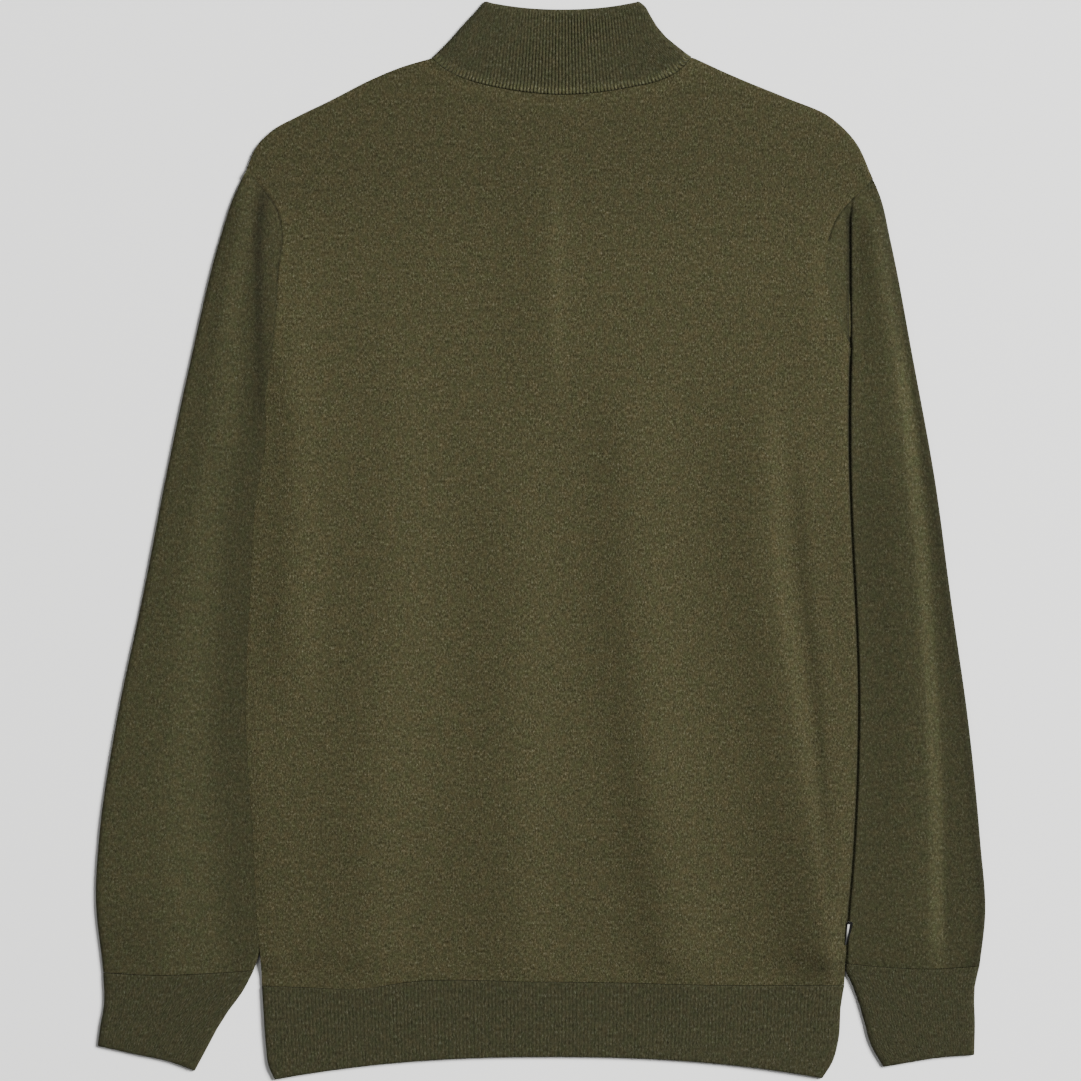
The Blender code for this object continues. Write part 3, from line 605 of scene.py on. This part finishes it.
def knit_material(name, base, wale, course, grain, speckle):
    """Melange knit: stitches in wales and courses, and a yarn of mixed fibres."""
    nodes = Nodes(name, 0.92, 0.05, (0.55, 0.54, 0.36))
    place = nodes.place()
    split = nodes.add("SeparateXYZ", Vector=place)
    sway = nodes.noise(place, 0.5, 1.0)
    across = nodes.math("ADD", nodes.math("DIVIDE", split.outputs["X"], wale),
                        nodes.math("MULTIPLY", sway, 0.5))
    along = nodes.math("DIVIDE", split.outputs["Y"], course)
    side = nodes.math("ABSOLUTE", nodes.math("SUBTRACT", nodes.math("FRACT", across), 0.5))
    leg = nodes.math("SINE", nodes.math("MULTIPLY", nodes.math("ADD", along, side), 2 * math.pi))
    wave = nodes.math("COSINE", nodes.math("MULTIPLY", side, 4 * math.pi))
    stitch = nodes.math("SUBTRACT", nodes.math("MULTIPLY", leg, 0.4),
                        nodes.math("MULTIPLY", wave, 0.6))

    fibres = nodes.noise(nodes.stretch(place, (*grain, 1)), 1.0, 3.0, 0.85)
    slubs = nodes.noise(nodes.stretch(place, (1.0, 0.7, 1), (5, 19, 0)), 0.36, 2.0, 0.6)
    threads = nodes.noise(nodes.stretch(place, (0.9, 0.6, 1), (31, 7, 0)), 0.2, 2.0, 0.6)
    clouds = nodes.noise(nodes.stretch(place, (1, 1, 1), (11, 47, 0)), 0.09, 3.0, 0.6)
    patches = nodes.noise(nodes.stretch(place, (1, 1, 1), (3, 83, 0)), 0.13, 2.0, 0.5)
    fibre_stops = []
    for offset, share in MELANGE:
        mixed = tuple(part * share**power for part, power in zip(base, SHARE_POWERS))
        fibre_stops.append((0.5 + offset, mixed))
    yarn = nodes.ramp(fibres, *fibre_stops)
    amount = nodes.math("MULTIPLY_ADD", patches, speckle, 0.05)
    colour = nodes.mix("MIX", amount, (*base, 1), yarn)
    hue = nodes.ramp(threads, (0.36, (0.93, 1.0, 0.93)), (0.5, (1, 1, 1)), (0.64, (1.06, 0.99, 0.98)))
    drift = nodes.ramp(clouds, (0.3, (0.925, 0.955, 0.95)), (0.7, (1.08, 1.045, 1.05)))
    tufts = nodes.ramp(slubs, (0.34, (0.84, 0.84, 0.85)), (0.66, (1.17, 1.17, 1.16)))
    # Painted shade in the stitches' furrows, then the points' painted light and shade, multiply the
    # colour.
    furrow_shade = nodes.grey(nodes.math("MULTIPLY_ADD", stitch, 0.07, 0.98))
    for layer in (hue, tufts, drift, furrow_shade, nodes.tone()):
        colour = nodes.mix("MULTIPLY", 1.0, colour, layer)
    nodes.put(nodes.shader.inputs["Base Color"], colour)
    relief = nodes.math("ADD", nodes.math("MULTIPLY", stitch, 0.5), fibres)
    nodes.bump(relief, 0.0003, 0.55)
    return nodes.material


jersey = knit_material("jersey_knit", (0.0322, 0.0300, 0.0124), 1.4, 1.1, (0.93, 0.50), 1.5)
sleeve_jersey = knit_material("sleeve_knit", (0.0298, 0.0291, 0.0123), 1.4, 1.1, (0.80, 0.46), 1.1)
rib = knit_material("rib_knit", (0.0227, 0.0224, 0.0098), 1.25, 1.1, (1.05, 0.42), 1.35)


# -------- body
def seam_dip(distance, width, depth):
    """A crease along a seam."""
    return -depth * bell(distance, width)


def seam_share(x):
    """The neck seam stands out less towards its left end."""
    return 0.1 + 0.9 * ease((x + 65) / 35)


def edge_drop(x):
    """How far the body's folded edge lies below the panel, left and right."""
    return np.where(x < 0, 0.2, 1.1)


def swell(grid):
    """The slight unevenness of all the jersey."""
    return 0.10 * unevenness(grid, 45, 3) + 0.05 * unevenness(grid, 16, 5)


def left_seam_shows(y):
    """The left armhole's seam is a crisp line only below the shoulder."""
    crisp = ease((y - 213) / 12)
    faint = 0.35 * ease((y - 110) / 20) + 0.4 * ease((y - 160) / 20)
    return crisp * (1 - ease((y - 243) / 12)) + faint * (1 - crisp)


def right_seam_shows(y):
    """The right one's is a crisp line on its upper part, fainter near the shoulder."""
    return ease((y - 207) / 4) * (1 - 0.6 * ease((y - 239) / 8))


def back_painted_light(grid, neck, left_armhole):
    """Painted shade at the slit and the seams, painted light beside them, and less painted light at
    top, foot and right.
    """
    x, y = grid[..., 0], grid[..., 1]
    from_right = (x_at(RIGHT_SIDE, y) - x).clip(0)
    beside_slit = ease((140 - y) / 10) * (0.5 + 0.5 * ease((y + 285) / 20))
    beside_slit *= 1 + 0.6 * ease((y - 40) / 40)
    tone = 1 - 0.30 * bell(from_right, 1.0) * beside_slit
    tone *= 1 - 0.10 * (1 - ease((from_right - 15) / 45)) * ease((60 - y) / 60)
    tone *= 1 + 0.12 * bell(neck - 5.5, 3.5)
    tone *= 1 - 0.12 * ease((y - 185) / 85)
    tone *= 1 - 0.40 * bell(left_armhole, 0.8) * left_seam_shows(y)
    beside_band = ease((y - 120) / 30) * (1 - ease((y - 225) / 15))
    tone *= 1 + 0.12 * bell(left_armhole - 4, 3.5) * beside_band
    return tone * (1 - 0.06 * ease((-150 - y) / 80))


def make_body():
    back_edge = join(LEFT_SHOULDER, BACK_NECK_LINE, RIGHT_SHOULDER)
    front_edge = join(LEFT_SHOULDER, FRONT_NECK_LINE, RIGHT_SHOULDER)
    others = HEM_LINE, join(LEFT_ARMHOLE, LEFT_SIDE), join(RIGHT_ARMHOLE, RIGHT_SIDE)
    few = shares(40, 0.012, 2), shares(60, 0.012, 2)
    grid = patch(back_edge, *others, shares(206, 0.012, 6), shares(306, 0.012, 6))
    coarse = patch(back_edge, *others, *few)
    front_grid = patch(front_edge, *others, *few)

    neck = distance_to(BACK_NECK_LINE, grid)
    left_armhole = distance_to(LEFT_ARMHOLE, grid)
    right_armhole = distance_to(RIGHT_ARMHOLE, grid)
    hem = distance_to(HEM_LINE, grid)
    x, y = grid[..., 0], grid[..., 1]
    height = back_level(grid) - edge_drop(x) * (1 - rounded(folded_edge(grid), 3.5))
    height += seam_dip(neck, 1.1, 0.2) * seam_share(x) + seam_dip(neck - 10.5, 0.8, 0.12)
    height += (1.0 - 0.3 * seam_share(x)) * np.exp(-neck / 9)
    height += seam_dip(left_armhole, 1.0, 0.3) * left_seam_shows(y)
    height += seam_dip(right_armhole, 0.9, 0.9) * right_seam_shows(y)
    height += seam_dip(hem, 1.0, 0.2)
    height += swell(grid)
    top = grid, height, grid, back_painted_light(grid, neck, left_armhole)
    panel("back_cloth", top, (coarse, back_underside(coarse)), jersey, "jersey", "back")

    front_low = bed(front_grid)
    front_high = front_low + JERSEY * (0.55 + 0.45 * rounded(folded_edge(front_grid), 3))
    panel("front_cloth", (front_grid, front_high), (front_grid, front_low), jersey,
          "jersey", "front")


# -------- sleeves
def sleeve_limits(side, y):
    """How far out the body's edge is beside a sleeve, and then the sleeve's outer fold."""
    return side.sign * x_at(join(side.armhole, side.edge), y), side.sign * x_at(side.outer, y)


def left_profile(out, inner, crest, rim, roof, body_level, y):
    """A valley beside the body, a broad crest, and a long fall to the outer fold."""
    valley = inner + (0.42 + 0.18 * ease((y - 100) / 60)) * (crest - inner)
    low = np.minimum(4.0, roof)
    up = np.clip((valley - out) / np.maximum(valley - inner, 1), 0, 1) ** 1.5
    hollow = np.where(out > valley, low + (roof - low) * between(out, valley, crest),
                      low + (body_level - low) * up)
    plain = body_level + (roof - body_level) * between(out, inner, crest)
    climb = plain + (hollow - plain) * ease((LEFT_ARMHOLE[0, 1] - 12 - y) / 14)
    fall = roof - (roof - 4.0) * ((out - crest) / np.maximum(rim - crest, 1)).clip(0, 1) ** 1.3
    return np.where(out < crest, climb, fall)


def slit_lip(edge, y):
    """The slit's edge: the body's own, and above the underarm a line beside the seam."""
    sewn = ease((y - RIGHT_UNDERARM) / 2)
    return edge + (level(SLIT, y) - 0.7 - edge) * sewn


def right_profile(out, inner, crest, rim, roof, body_level, y):
    """A narrow slit beside the body, a long climb to a sharp crest, and a flat outer strip."""
    lip = slit_lip(inner, y)
    bank = 1.7 * ease((y + 302) / 16)
    wall = PRESSED + bank * between(out, lip + 0.7, lip + 2.5)
    beyond = wall + (roof - PRESSED - bank) * between(out, lip + 2, crest)
    plain = body_level + (roof - body_level) * between(out, inner, crest)
    split = body_level + (beyond - body_level) * between(out, lip - 0.4, lip + 0.4)
    climb = plain + (split - plain) * ease((RIGHT_ARMHOLE[0, 1] - 7 - y) / 24)
    shelf = np.minimum(5.2, roof)
    fall = roof - (roof - shelf) * between(out, crest, crest + 12)
    fall = fall + 0.5 * between(out, crest + 12, rim)
    return np.where(out < crest, climb, fall)


# lift is the crest's rise, cuff_fade the length above the cuff that it rises over, tuck how
# close to the body's edge the sleeve goes under it, and shade the painted shade that darkens
# the whole sleeve, against the body's.
Side = namedtuple("Side", "sign armhole edge outer crest seam hidden profile "
                  "lift cuff_fade tuck shade")
LEFT = Side(-1, LEFT_ARMHOLE, LEFT_SIDE, smooth_line(OUTER_LEFT, 300), CREST_LEFT,
            smooth_line(CUFF_LEFT_SEAM, 60), smooth_line(HIDDEN_LEFT, 300),
            left_profile, 2.4, 60, (2.5, 0.2), 0.96)
RIGHT = Side(1, RIGHT_ARMHOLE, RIGHT_SIDE, smooth_line(OUTER_RIGHT, 300), CREST_RIGHT,
             smooth_line(CUFF_RIGHT_SEAM, 60), smooth_line(HIDDEN_RIGHT, 300),
             right_profile, 4.3, 22, (0.4, -0.1), 0.98)


def sleeve_height(grid, side):
    """The plain upper side of a sleeve, from its outer fold to its tucked inner edge."""
    x, y = grid[..., 0], grid[..., 1]
    out = side.sign * x
    top, underarm = side.armhole[0, 1], side.armhole[-1, 1]
    inner, rim = sleeve_limits(side, y)
    crest = np.clip(level(side.crest, y), inner + 2, rim - 2)
    full = ease((top - y) / 40)
    near_cuff = ease((y - side.seam[:, 1].mean()) / side.cuff_fade)
    roof = 3.4 + 0.8 * full + side.lift * full * (0.15 + 0.85 * near_cuff)
    edge = np.stack([side.sign * np.minimum(out, inner - 0.5), y], axis=-1)
    body_level = back_level(edge)
    free = ease((underarm - y) / 25 + 0.5)
    body_level = body_level - (edge_drop(edge[..., 0]) * 0.8 + 0.15) * free
    height = side.profile(out, inner, crest, rim, roof, body_level, y)
    shown = between(out, inner - side.tuck[0], inner - side.tuck[1])
    height = PRESSED + (height - PRESSED) * np.where(y < underarm, shown, 1)
    return np.maximum(height, PRESSED)


def left_painted_light(side, out, rim, edge, y, armhole):
    """Painted shade in the valley, on the crest, along the outer fold low down, above the cuff, along
    the armhole's seam and in the fold under the arm, and painted light along the outer fold near the
    top.
    """
    band = ease((side.armhole[0, 1] - 14 - y) / 12)
    span = 14 + 6 * ease((100 - y) / 60)
    depth = 0.13 - 0.07 * ease((y - 100) / 30)
    tone = 1 - depth * (1 - between(out, edge + span * 0.7, edge + span * 1.7)) * band
    strip = 0.07 - 0.15 * ease((y - 10) / 70)
    tone *= 1 - strip * np.exp(-((rim - out) / 14).clip(0))
    tone *= 1 - 0.11 * bell(out - level(side.crest, y), 16) * ease((y - 10) / 60)
    tone *= 1 - 0.11 * between(out, 250, 280) * ease((-240 - y) / 40)
    off = out - level(UNDERARM_FOLD, y)
    fold = 0.7 * bell(off, 3.8) + 0.3 * bell(off, 10)
    tone *= 1 - 0.40 * bell(armhole, 0.8) * left_seam_shows(y)
    return tone * (1 - level(UNDERARM_SHADE, y) * fold)


def right_painted_light(side, out, rim, edge, y, tuck):
    """Painted shade in the slit, beside it, on the outer strip, at the outer fold and in the tuck
    above the cuff, and a painted shine past the crest that turns to painted shade near the top.
    """
    lip = slit_lip(edge, y)
    opened = ease((side.armhole[0, 1] - 9 - y) / 24)
    past_crest = out - level(side.crest, y)
    tone = 1 - 0.15 * between(past_crest, 9, 16)
    shine = 0.14 * (1 - ease((y - 90) / 60)) - 0.10 * ease((y - 110) / 50)
    tone *= 1 + shine * bell(past_crest - 6.5, 6) * opened
    low = 1 - 0.9 * ease(y / 100)
    tone *= 1 - 0.13 * between(out, lip - 0.5, lip + 2) * opened * low
    hollow = between(out, lip, lip + 3) * (1 - between(out, lip + 8, lip + 45))
    tone *= 1 - (0.09 * low - 0.03) * hollow * opened
    deep = opened * (0.6 + 0.4 * ease((y + 285) / 20)) * (1 - 0.5 * ease((60 - y) / 60))
    spread = 1.7 + 0.5 * ease((y - 40) / 40) + 1.6 * ease((y - 216) / 24)
    tone *= 1 - 0.72 * bell(out - lip - 0.8, spread) * deep
    tone *= 1 - 0.38 * bell(rim - out, 6.0)
    return tone * (1 - 0.25 * tuck)


def sleeve_edges(side):
    """A sleeve's outer fold and its inner edge, row by row: sewn at first, then tucked in."""
    sewn = side.armhole - np.array([side.sign * 0.5, 0])
    levels = np.linspace(sewn[-1, 1], side.seam[-1, 1], SIDE_ROWS + 1)
    inner = join(sewn, np.column_stack([x_at(side.hidden, levels), levels]))
    inner[-1] = side.seam[-1]
    outer = np.column_stack([x_at(side.outer, inner[:, 1]), inner[:, 1]])
    start = side.armhole[0, 1] - 6
    outer[0] = x_at(side.outer, start), start
    blend = np.linspace(1, 0, 12)[:, None]
    outer[:12] = outer[:12] * (1 - blend) + outer[0] * blend
    outer[:, 1] = np.minimum.accumulate(outer[:, 1])
    outer[-1] = side.seam[0]
    return outer, inner


def sleeve_columns(side, outer, inner):
    """Shares across each row, close together beside the body's edge and few under the body."""
    beside, _ = sleeve_limits(side, inner[:, 1])
    rim = side.sign * outer[:, 0]
    seen = np.clip((rim - beside) / np.maximum(rim - side.sign * inner[:, 0], 1), 0.3, 1)
    dense = np.minimum(20 / np.maximum(rim - beside, 1), 0.35)
    edge_share = 0.03
    edge = edge_share * (1 - np.cos(np.linspace(0, math.pi / 2, 6)))[:-1]
    wide = np.linspace(0, 1, 80)[:-1]
    close = np.linspace(0, 1, 39)
    under_body = np.linspace(0, 1, 9)[1:]
    parts = [np.tile(edge, (len(seen), 1)),
             edge_share + wide * (1 - dense - edge_share)[:, None],
             (1 - dense)[:, None] + close * dense[:, None]]
    fine = np.hstack([np.hstack(parts) * seen[:, None],
                      seen[:, None] + under_body * np.maximum(1 - seen, 0.002)[:, None]])
    return fine / fine[:, -1:]


def sleeve_hollow(side, under, width, closed_from):
    """A sleeve's other three skins: its underside, and both sides of the hollow within."""
    share_in = np.minimum(JERSEY / width, 0.08)[:, None]
    inside = under.copy()
    towards = inside[:, -1] - inside[:, 0]
    inside[:, 0] += share_in * towards
    inside[closed_from:, -1] -= (share_in * towards)[closed_from:]
    inside[0] += JERSEY * np.array([-side.sign * 0.3, -1])
    rough = sleeve_height(under, side)
    bottom = np.zeros_like(rough)
    bottom[:, 0] = rough[:, 0] * 0.25
    bottom[closed_from:, -1] = rough[closed_from:, -1] * 0.25
    ceiling = rough - JERSEY
    floor = np.full_like(ceiling, JERSEY)
    ceiling[:, :3] = np.minimum(ceiling[:, :3], np.array([1.4, 1.9, 2.3]))
    closed_rows = slice(closed_from + 1, None)
    for rows, columns in ((slice(None), 0), (closed_rows, -1), (0, slice(None))):
        ceiling[rows, columns] = JERSEY + 0.2
        floor[rows, columns] = JERSEY * 0.9
    return (under, bottom), (inside, ceiling), (inside, floor)


def make_sleeve(side, label, node):
    outer, inner = sleeve_edges(side)
    fine = sleeve_columns(side, outer, inner)
    coarse = np.tile(shares(16, 0.03, 2), (len(inner), 1))
    few = np.unique(np.concatenate([np.arange(0, ARMHOLE_ROWS + 1, 8),
                                    np.arange(ARMHOLE_ROWS, len(inner), 10), [len(inner) - 1]]))
    closed_from = int(np.searchsorted(few, ARMHOLE_ROWS))

    def rows_of(across, pick):
        share = across[pick][..., None]
        made = outer[pick][:, None] * (1 - share) + inner[pick][:, None] * share
        made[-1] = on_line(side.seam, share[-1, :, 0])
        return made

    all_rows = np.arange(len(inner))
    grid = rows_of(fine, all_rows)
    under = rows_of(coarse, few)
    width = gap(grid[:, -1], grid[:, 0])
    armhole = distance_to(side.armhole, grid)
    cuff = distance_to(side.seam, grid)
    x, y = grid[..., 0], grid[..., 1]
    out = side.sign * x
    edge, rim = sleeve_limits(side, y)

    height = sleeve_height(grid, side)
    rim_radius = np.minimum(4.0, width[:, None] * 0.3)
    height *= 0.5 + 0.5 * rounded(gap(grid, grid[:, :1]), rim_radius)
    tucked = (all_rows > ARMHOLE_ROWS)[:, None]
    inner_round = 0.6 + 0.4 * rounded(gap(grid, grid[:, -1:]), 2.5)
    height = np.where(tucked, height * inner_round, height)
    if side.sign < 0:
        height += np.where(tucked, 0, seam_dip(armhole, 1.0, 0.3) * left_seam_shows(y))
        seam_shows = np.full_like(out, 0.3)
        tone = left_painted_light(side, out, rim, edge, y, armhole)
    else:
        height += np.where(tucked, 0, seam_dip(armhole, 0.9, 0.9) * right_seam_shows(y))
        seam_shows = 0.15 + 0.85 * ease((out - CUFF_TUCK[0]) / 1.5) * ease((282 - out) / 30)
        tuck = bell(out - CUFF_TUCK[0], 0.8)
        tuck *= ease((CUFF_TUCK[1] - y) / 1.5) * ease(y - CUFF_TUCK[2] + 1)
        height -= 0.35 * tuck
        tone = right_painted_light(side, out, rim, edge, y, tuck)
    height += seam_dip(cuff, 0.9, 0.3) * seam_shows
    height = np.maximum(height + swell(grid), 1.6)
    # Painted shade along the cuff's seam, then the side's painted shade over the whole sleeve.
    tone *= 1 - 0.12 * bell(cuff, 1.0) * seam_shows
    tone *= side.shade

    # The knit's columns run along the sleeve.
    slope = math.atan2(*(side.seam.mean(axis=0) - (side.outer[60] + side.edge[0]) / 2))
    turn = np.array([[math.cos(slope), math.sin(slope)], [-math.sin(slope), math.cos(slope)]])
    skins = (grid, height, grid @ turn, tone), *sleeve_hollow(side, under, width[few], closed_from)
    return tube(label, skins, (ARMHOLE_ROWS, closed_from), sleeve_jersey, "jersey", node)


# -------- ribbed bands
def rib_profile(phase):
    """A round wale at whole numbers and a narrow furrow between them."""
    return np.abs(np.cos(math.pi * phase)) ** 0.7


Band = namedtuple("Band", "columns rise strength dashes shade")


def from_edges(grid):
    """How far a band's points are from its sides, from its free end and from its seam."""
    side = np.minimum(gap(grid, grid[:, :1]), gap(grid, grid[:, -1:]))
    return side, gap(grid, grid[-1:]), gap(grid, grid[:1])


def make_band_tube(label, node, lines, under_lines, phase_of, band):
    """A ribbed tube. Its strength says how much painted shade darkens its furrows, its dashes how
    much its ribs stand out and carry a painted shine beside the seam, and its shade the painted shade
    over the whole band.
    """
    down = shares(26, 0.05, 4)
    few_down = shares(5, 0.05, 1)
    fine = np.linspace(0, 1, band.columns)
    coarse = shares(14, 0.03, 2)
    grid = patch(*lines, fine, down)
    under = patch(*under_lines, *lines[2:], coarse, few_down)
    over = patch(*lines, coarse, few_down)
    phase = phase_of(grid, fine)
    profile = rib_profile(phase)
    side, end, start = from_edges(grid)
    seam = seam_share(grid[..., 0])
    at_seam = band.dashes * (0.5 + 0.5 * seam)
    shown = ease(end / 5) * np.maximum(rounded(side, 14), at_seam * ease((9 - start) / 5))
    height = (BAND_ROOF - 0.3) * (0.5 + 0.5 * rounded(side, 4.5)) + band.rise * profile * shown
    drop = 0.2 + band.dashes * (0.5 * seam - 0.2)
    height -= 1.3 * (1 - rounded(end, 3.0)) + drop * (1 - rounded(start, 1.6))
    height += 0.08 * unevenness(grid, 30, 21)
    # Painted light and shade: darker furrows and lighter wales, a painted shine on the ribs beside
    # the seam, shade towards the folded sides and, on the collar, light at its middle.
    tone = band.shade + band.strength * (1.45 * profile - 1) * ease(end / 5) * rounded(side, 7)
    tone *= 1 + at_seam * (profile - 0.25) * ease((start - 0.2) / 0.8) * ease((7 - start) / 4)
    tone *= 1 - 0.06 * (1 - rounded(side, 14))
    tone *= 1 + 0.12 * band.dashes * bell(grid[..., 0] - RIB_CENTRE, 32)
    places = np.dstack([phase * RIB_STITCHES, grid[..., 1]])
    share_in = np.minimum(RIB_WALL / gap(under[:, -1], under[:, 0]), 0.08)[:, None]
    inner_top, inner_bottom = over.copy(), under.copy()
    for inner in (inner_top, inner_bottom):
        towards = inner[:, -1] - inner[:, 0]
        inner[:, 0] += share_in * towards
        inner[:, -1] -= share_in * towards
    bottom = np.zeros(under.shape[:2])
    bottom[:, [0, -1]] = BAND_ROOF * 0.3
    ceiling = np.full(under.shape[:2], BAND_ROOF - RIB_WALL - 0.1)
    floor = np.full(under.shape[:2], RIB_WALL)
    ceiling[:, [0, -1]] = BAND_ROOF * 0.5 + 0.1
    floor[:, [0, -1]] = BAND_ROOF * 0.5 - 0.1
    skins = ((grid, height, places, tone), (under, bottom), (inner_top, ceiling),
             (inner_bottom, floor))
    return tube(label, skins, None, rib, "rib", node)


def make_collar():
    down = np.array([0, BAND_GAP])
    ends = COLLAR_LEFT[-1, 0], COLLAR_RIGHT[-1, 0]
    rim = arch_line(RIM, BACK_RIM, *ends, 96)
    front_rim = arch_line(RIM, FRONT_RIM, *ends, 96)
    lines = (BACK_NECK_LINE + down, rim,
             smooth_line(COLLAR_LEFT, 40), smooth_line(COLLAR_RIGHT, 40))
    slope = np.gradient(BACK_NECK_LINE[:, 1], BACK_NECK_LINE[:, 0])

    def phase_of(grid, _):
        """Ribs that start square to the seam and lean together towards the rim."""
        x = grid[..., 0]
        up = (grid[..., 1] - NECK_LOW) / COLLAR_HEIGHT
        start = np.interp(x, BACK_NECK_LINE[:, 0], BACK_NECK_LINE[:, 1])
        lean = np.interp(x, BACK_NECK_LINE[:, 0], slope) * 4 * np.exp(-(grid[..., 1] - start) / 4)
        return (x - lean - RIB_CENTRE) / (COLLAR_PITCH * (1 - COLLAR_LEAN * up))

    return make_band_tube("collar_cloth", "collar", lines, (FRONT_NECK_LINE + down, front_rim),
                          phase_of, Band(760, 0.8, 0.15, 1.0, 1.0))


def make_cuff(label, node, seam, end, outer, inner, shade):
    lines = (smooth_line(seam, 60), smooth_line(end, 60),
             smooth_line(outer, 40), smooth_line(inner, 40))

    def phase_of(grid, across):
        return np.broadcast_to(across[None] * CUFF_RIBS, grid.shape[:2])

    return make_band_tube(label, node, lines, lines[:2], phase_of,
                          Band(420, 0.14, 0.02, 0.0, shade))


def hem_lift(grid, side):
    """What is left of the body's folds in the hem, just below its seam."""
    return crease_rise(grid, BODY_CREASES) * ease((grid[..., 1] + 337) / 27) * ease(side / 10)


def make_hem():
    lines = (HEM_LINE - np.array([0, BAND_GAP]),
             arch_line(HEM, HEM_EDGE, HEM_LEFT[-1, 0], HEM_RIGHT[-1, 0], 224),
             smooth_line(HEM_LEFT, 40), smooth_line(HEM_RIGHT, 40))
    down = shares(24, 0.05, 4)
    few_down = shares(5, 0.05, 1)
    fine = np.linspace(0, 1, 1300)
    coarse = shares(40, 0.012, 2)
    grid = patch(*lines, fine, down)
    under = patch(*lines, coarse, few_down)
    up = (grid[..., 1] + 361) / 50
    phase = (grid[..., 0] - HEM[0]) / (HEM_PITCH * (0.985 + 0.015 * up))
    profile = rib_profile(phase)
    side, end, start = from_edges(grid)
    height = BAND_ROOF - 0.3 + 0.28 * profile * rounded(side, 22)
    height -= 1.2 * (1 - rounded(side, 4)) + 1.1 * (1 - rounded(end, 2.5))
    height -= 0.5 * (1 - rounded(start, 1.6))
    height += 0.10 * unevenness(grid, 40, 31)
    height += hem_lift(grid, side)
    # Painted shade in the furrows between the ribs and painted light on the wales.
    tone = 0.95 + 0.07 * profile * rounded(side, 22)
    places = np.dstack([phase * RIB_STITCHES, grid[..., 1]])
    underside = np.full(under.shape[:2], RIB_WALL + BAND_AIR)
    underside[:, [0, -1]] = RIB_WALL + EDGE_AIR
    underside[:, 1:-1] += 0.8 * hem_lift(under, np.full(under.shape[:2], 10))[:, 1:-1]
    panel("hem_back_cloth", (grid, height, places, tone), (under, underside), rib, "rib", "hem_back")
    low = np.zeros(under.shape[:2])
    high = low + RIB_WALL
    high[:, [0, -1]] = RIB_WALL * 0.55
    panel("hem_front_cloth", (under, high), (under, low), rib, "rib", "hem_front")


# -------- label
def make_label():
    """A small blank woven tab, slightly arched, that stands out of the side seam."""
    nodes = Nodes("label_tape", 0.7, 0.0, (1, 1, 1))
    weave = nodes.noise(nodes.place(), 3.0, 1.0)
    tape = nodes.ramp(weave, (0.3, (0.42, 0.42, 0.40)), (0.7, (0.62, 0.62, 0.60)))
    nodes.put(nodes.shader.inputs["Base Color"], nodes.mix("MULTIPLY", 1.0, tape, nodes.tone()))
    nodes.bump(weave, 0.0001, 0.5)
    top, bottom, left, right = (smooth_line(LABEL_TOP, 20), smooth_line(LABEL_BOTTOM, 20),
                                smooth_line(LABEL_LEFT, 60), smooth_line(LABEL_RIGHT, 60))
    across, down = np.linspace(0, 1, 21), np.linspace(0, 1, 61)
    grid = patch(top, bottom, left, right, across, down)
    u, v = np.meshgrid(across, down)
    height = LABEL_LEVEL + 0.5 * np.sin(math.pi * u.clip(0, 1)) ** 0.5 - 0.3 * v
    # Painted shadow along the tab's sides and over its top end; the tab also grows darker towards its
    # lower end.
    face = ease((u - 0.12) / 0.08) * ease((0.54 - u) / 0.10)
    face *= ease((LABEL_TOP[0, 1] - grid[..., 1] - 1.3) / 0.6)
    tone = (1 - 0.93 * ease((v - 0.15) / 0.6)) * face
    panel("label_tab", (grid, height, grid, tone), (grid, height - LABEL_WALL),
          nodes.material, "label", "side_label")


make_body()
make_sleeve(LEFT, "sleeve_left_cloth", "sleeve_left")
make_sleeve(RIGHT, "sleeve_right_cloth", "sleeve_right")
make_collar()
make_cuff("cuff_left_cloth", "cuff_left", CUFF_LEFT_SEAM, CUFF_LEFT_END, CUFF_LEFT_OUTER,
          CUFF_LEFT_INNER, 1.0)
# The right cuff gets more painted shade than the left.
make_cuff("cuff_right_cloth", "cuff_right", CUFF_RIGHT_SEAM, CUFF_RIGHT_END, CUFF_RIGHT_OUTER,
          CUFF_RIGHT_INNER, 0.95)
make_hem()
make_label()


# -------- floor, light and camera
FLOOR_HALF = 4
FLOOR_LEVEL = -0.0002


def make_floor():
    mesh = bpy.data.meshes.new("floor")
    corners = [(across * FLOOR_HALF, along * FLOOR_HALF, FLOOR_LEVEL)
               for across, along in ((-1, -1), (1, -1), (1, 1), (-1, 1))]
    mesh.from_pydata(corners, [], [(0, 1, 2, 3)])
    nodes = Nodes("floor_pale", 0.9, 0.0, (1, 1, 1))
    nodes.shader.inputs["Base Color"].default_value = (0.80, 0.80, 0.79, 1)
    mesh.materials.append(nodes.material)
    floor = bpy.data.objects.new("floor", mesh)
    bpy.context.scene.collection.objects.link(floor)


def make_light(name, place, size, power):
    data = bpy.data.lights.new(name, "AREA")
    data.shape = "SQUARE"
    data.size = size
    data.energy = power
    lamp = bpy.data.objects.new(name, data)
    lamp.location = place
    lamp.rotation_mode = "QUATERNION"
    lamp.rotation_quaternion = (-Vector(place)).to_track_quat("-Z", "Y")
    bpy.context.scene.collection.objects.link(lamp)


make_floor()
make_light("key", (4.86, 2.34, 5.4), 3.06, 1814)
make_light("fill", (-1.6, -0.8, 2.6), 2.0, 18)
world = bpy.data.worlds.new("studio")
world.use_nodes = True
background = world.node_tree.nodes["Background"]
background.inputs["Color"].default_value = (1, 1, 1, 1)
background.inputs["Strength"].default_value = 0.10
bpy.context.scene.world = world

PIXEL = 0.0007            # metres on the floor for each pixel of the frame
FRAME_PIXELS = 1081
LENS = 150.0
SENSOR = 36.0
camera_data = bpy.data.cameras.new("camera")
camera_data.lens = LENS
camera_data.sensor_width = SENSOR
camera_data.clip_end = 50
camera = bpy.data.objects.new("camera", camera_data)
camera.location = (0, 0, FRAME_PIXELS * PIXEL * LENS / SENSOR)
bpy.context.scene.collection.objects.link(camera)
bpy.context.scene.camera = camera
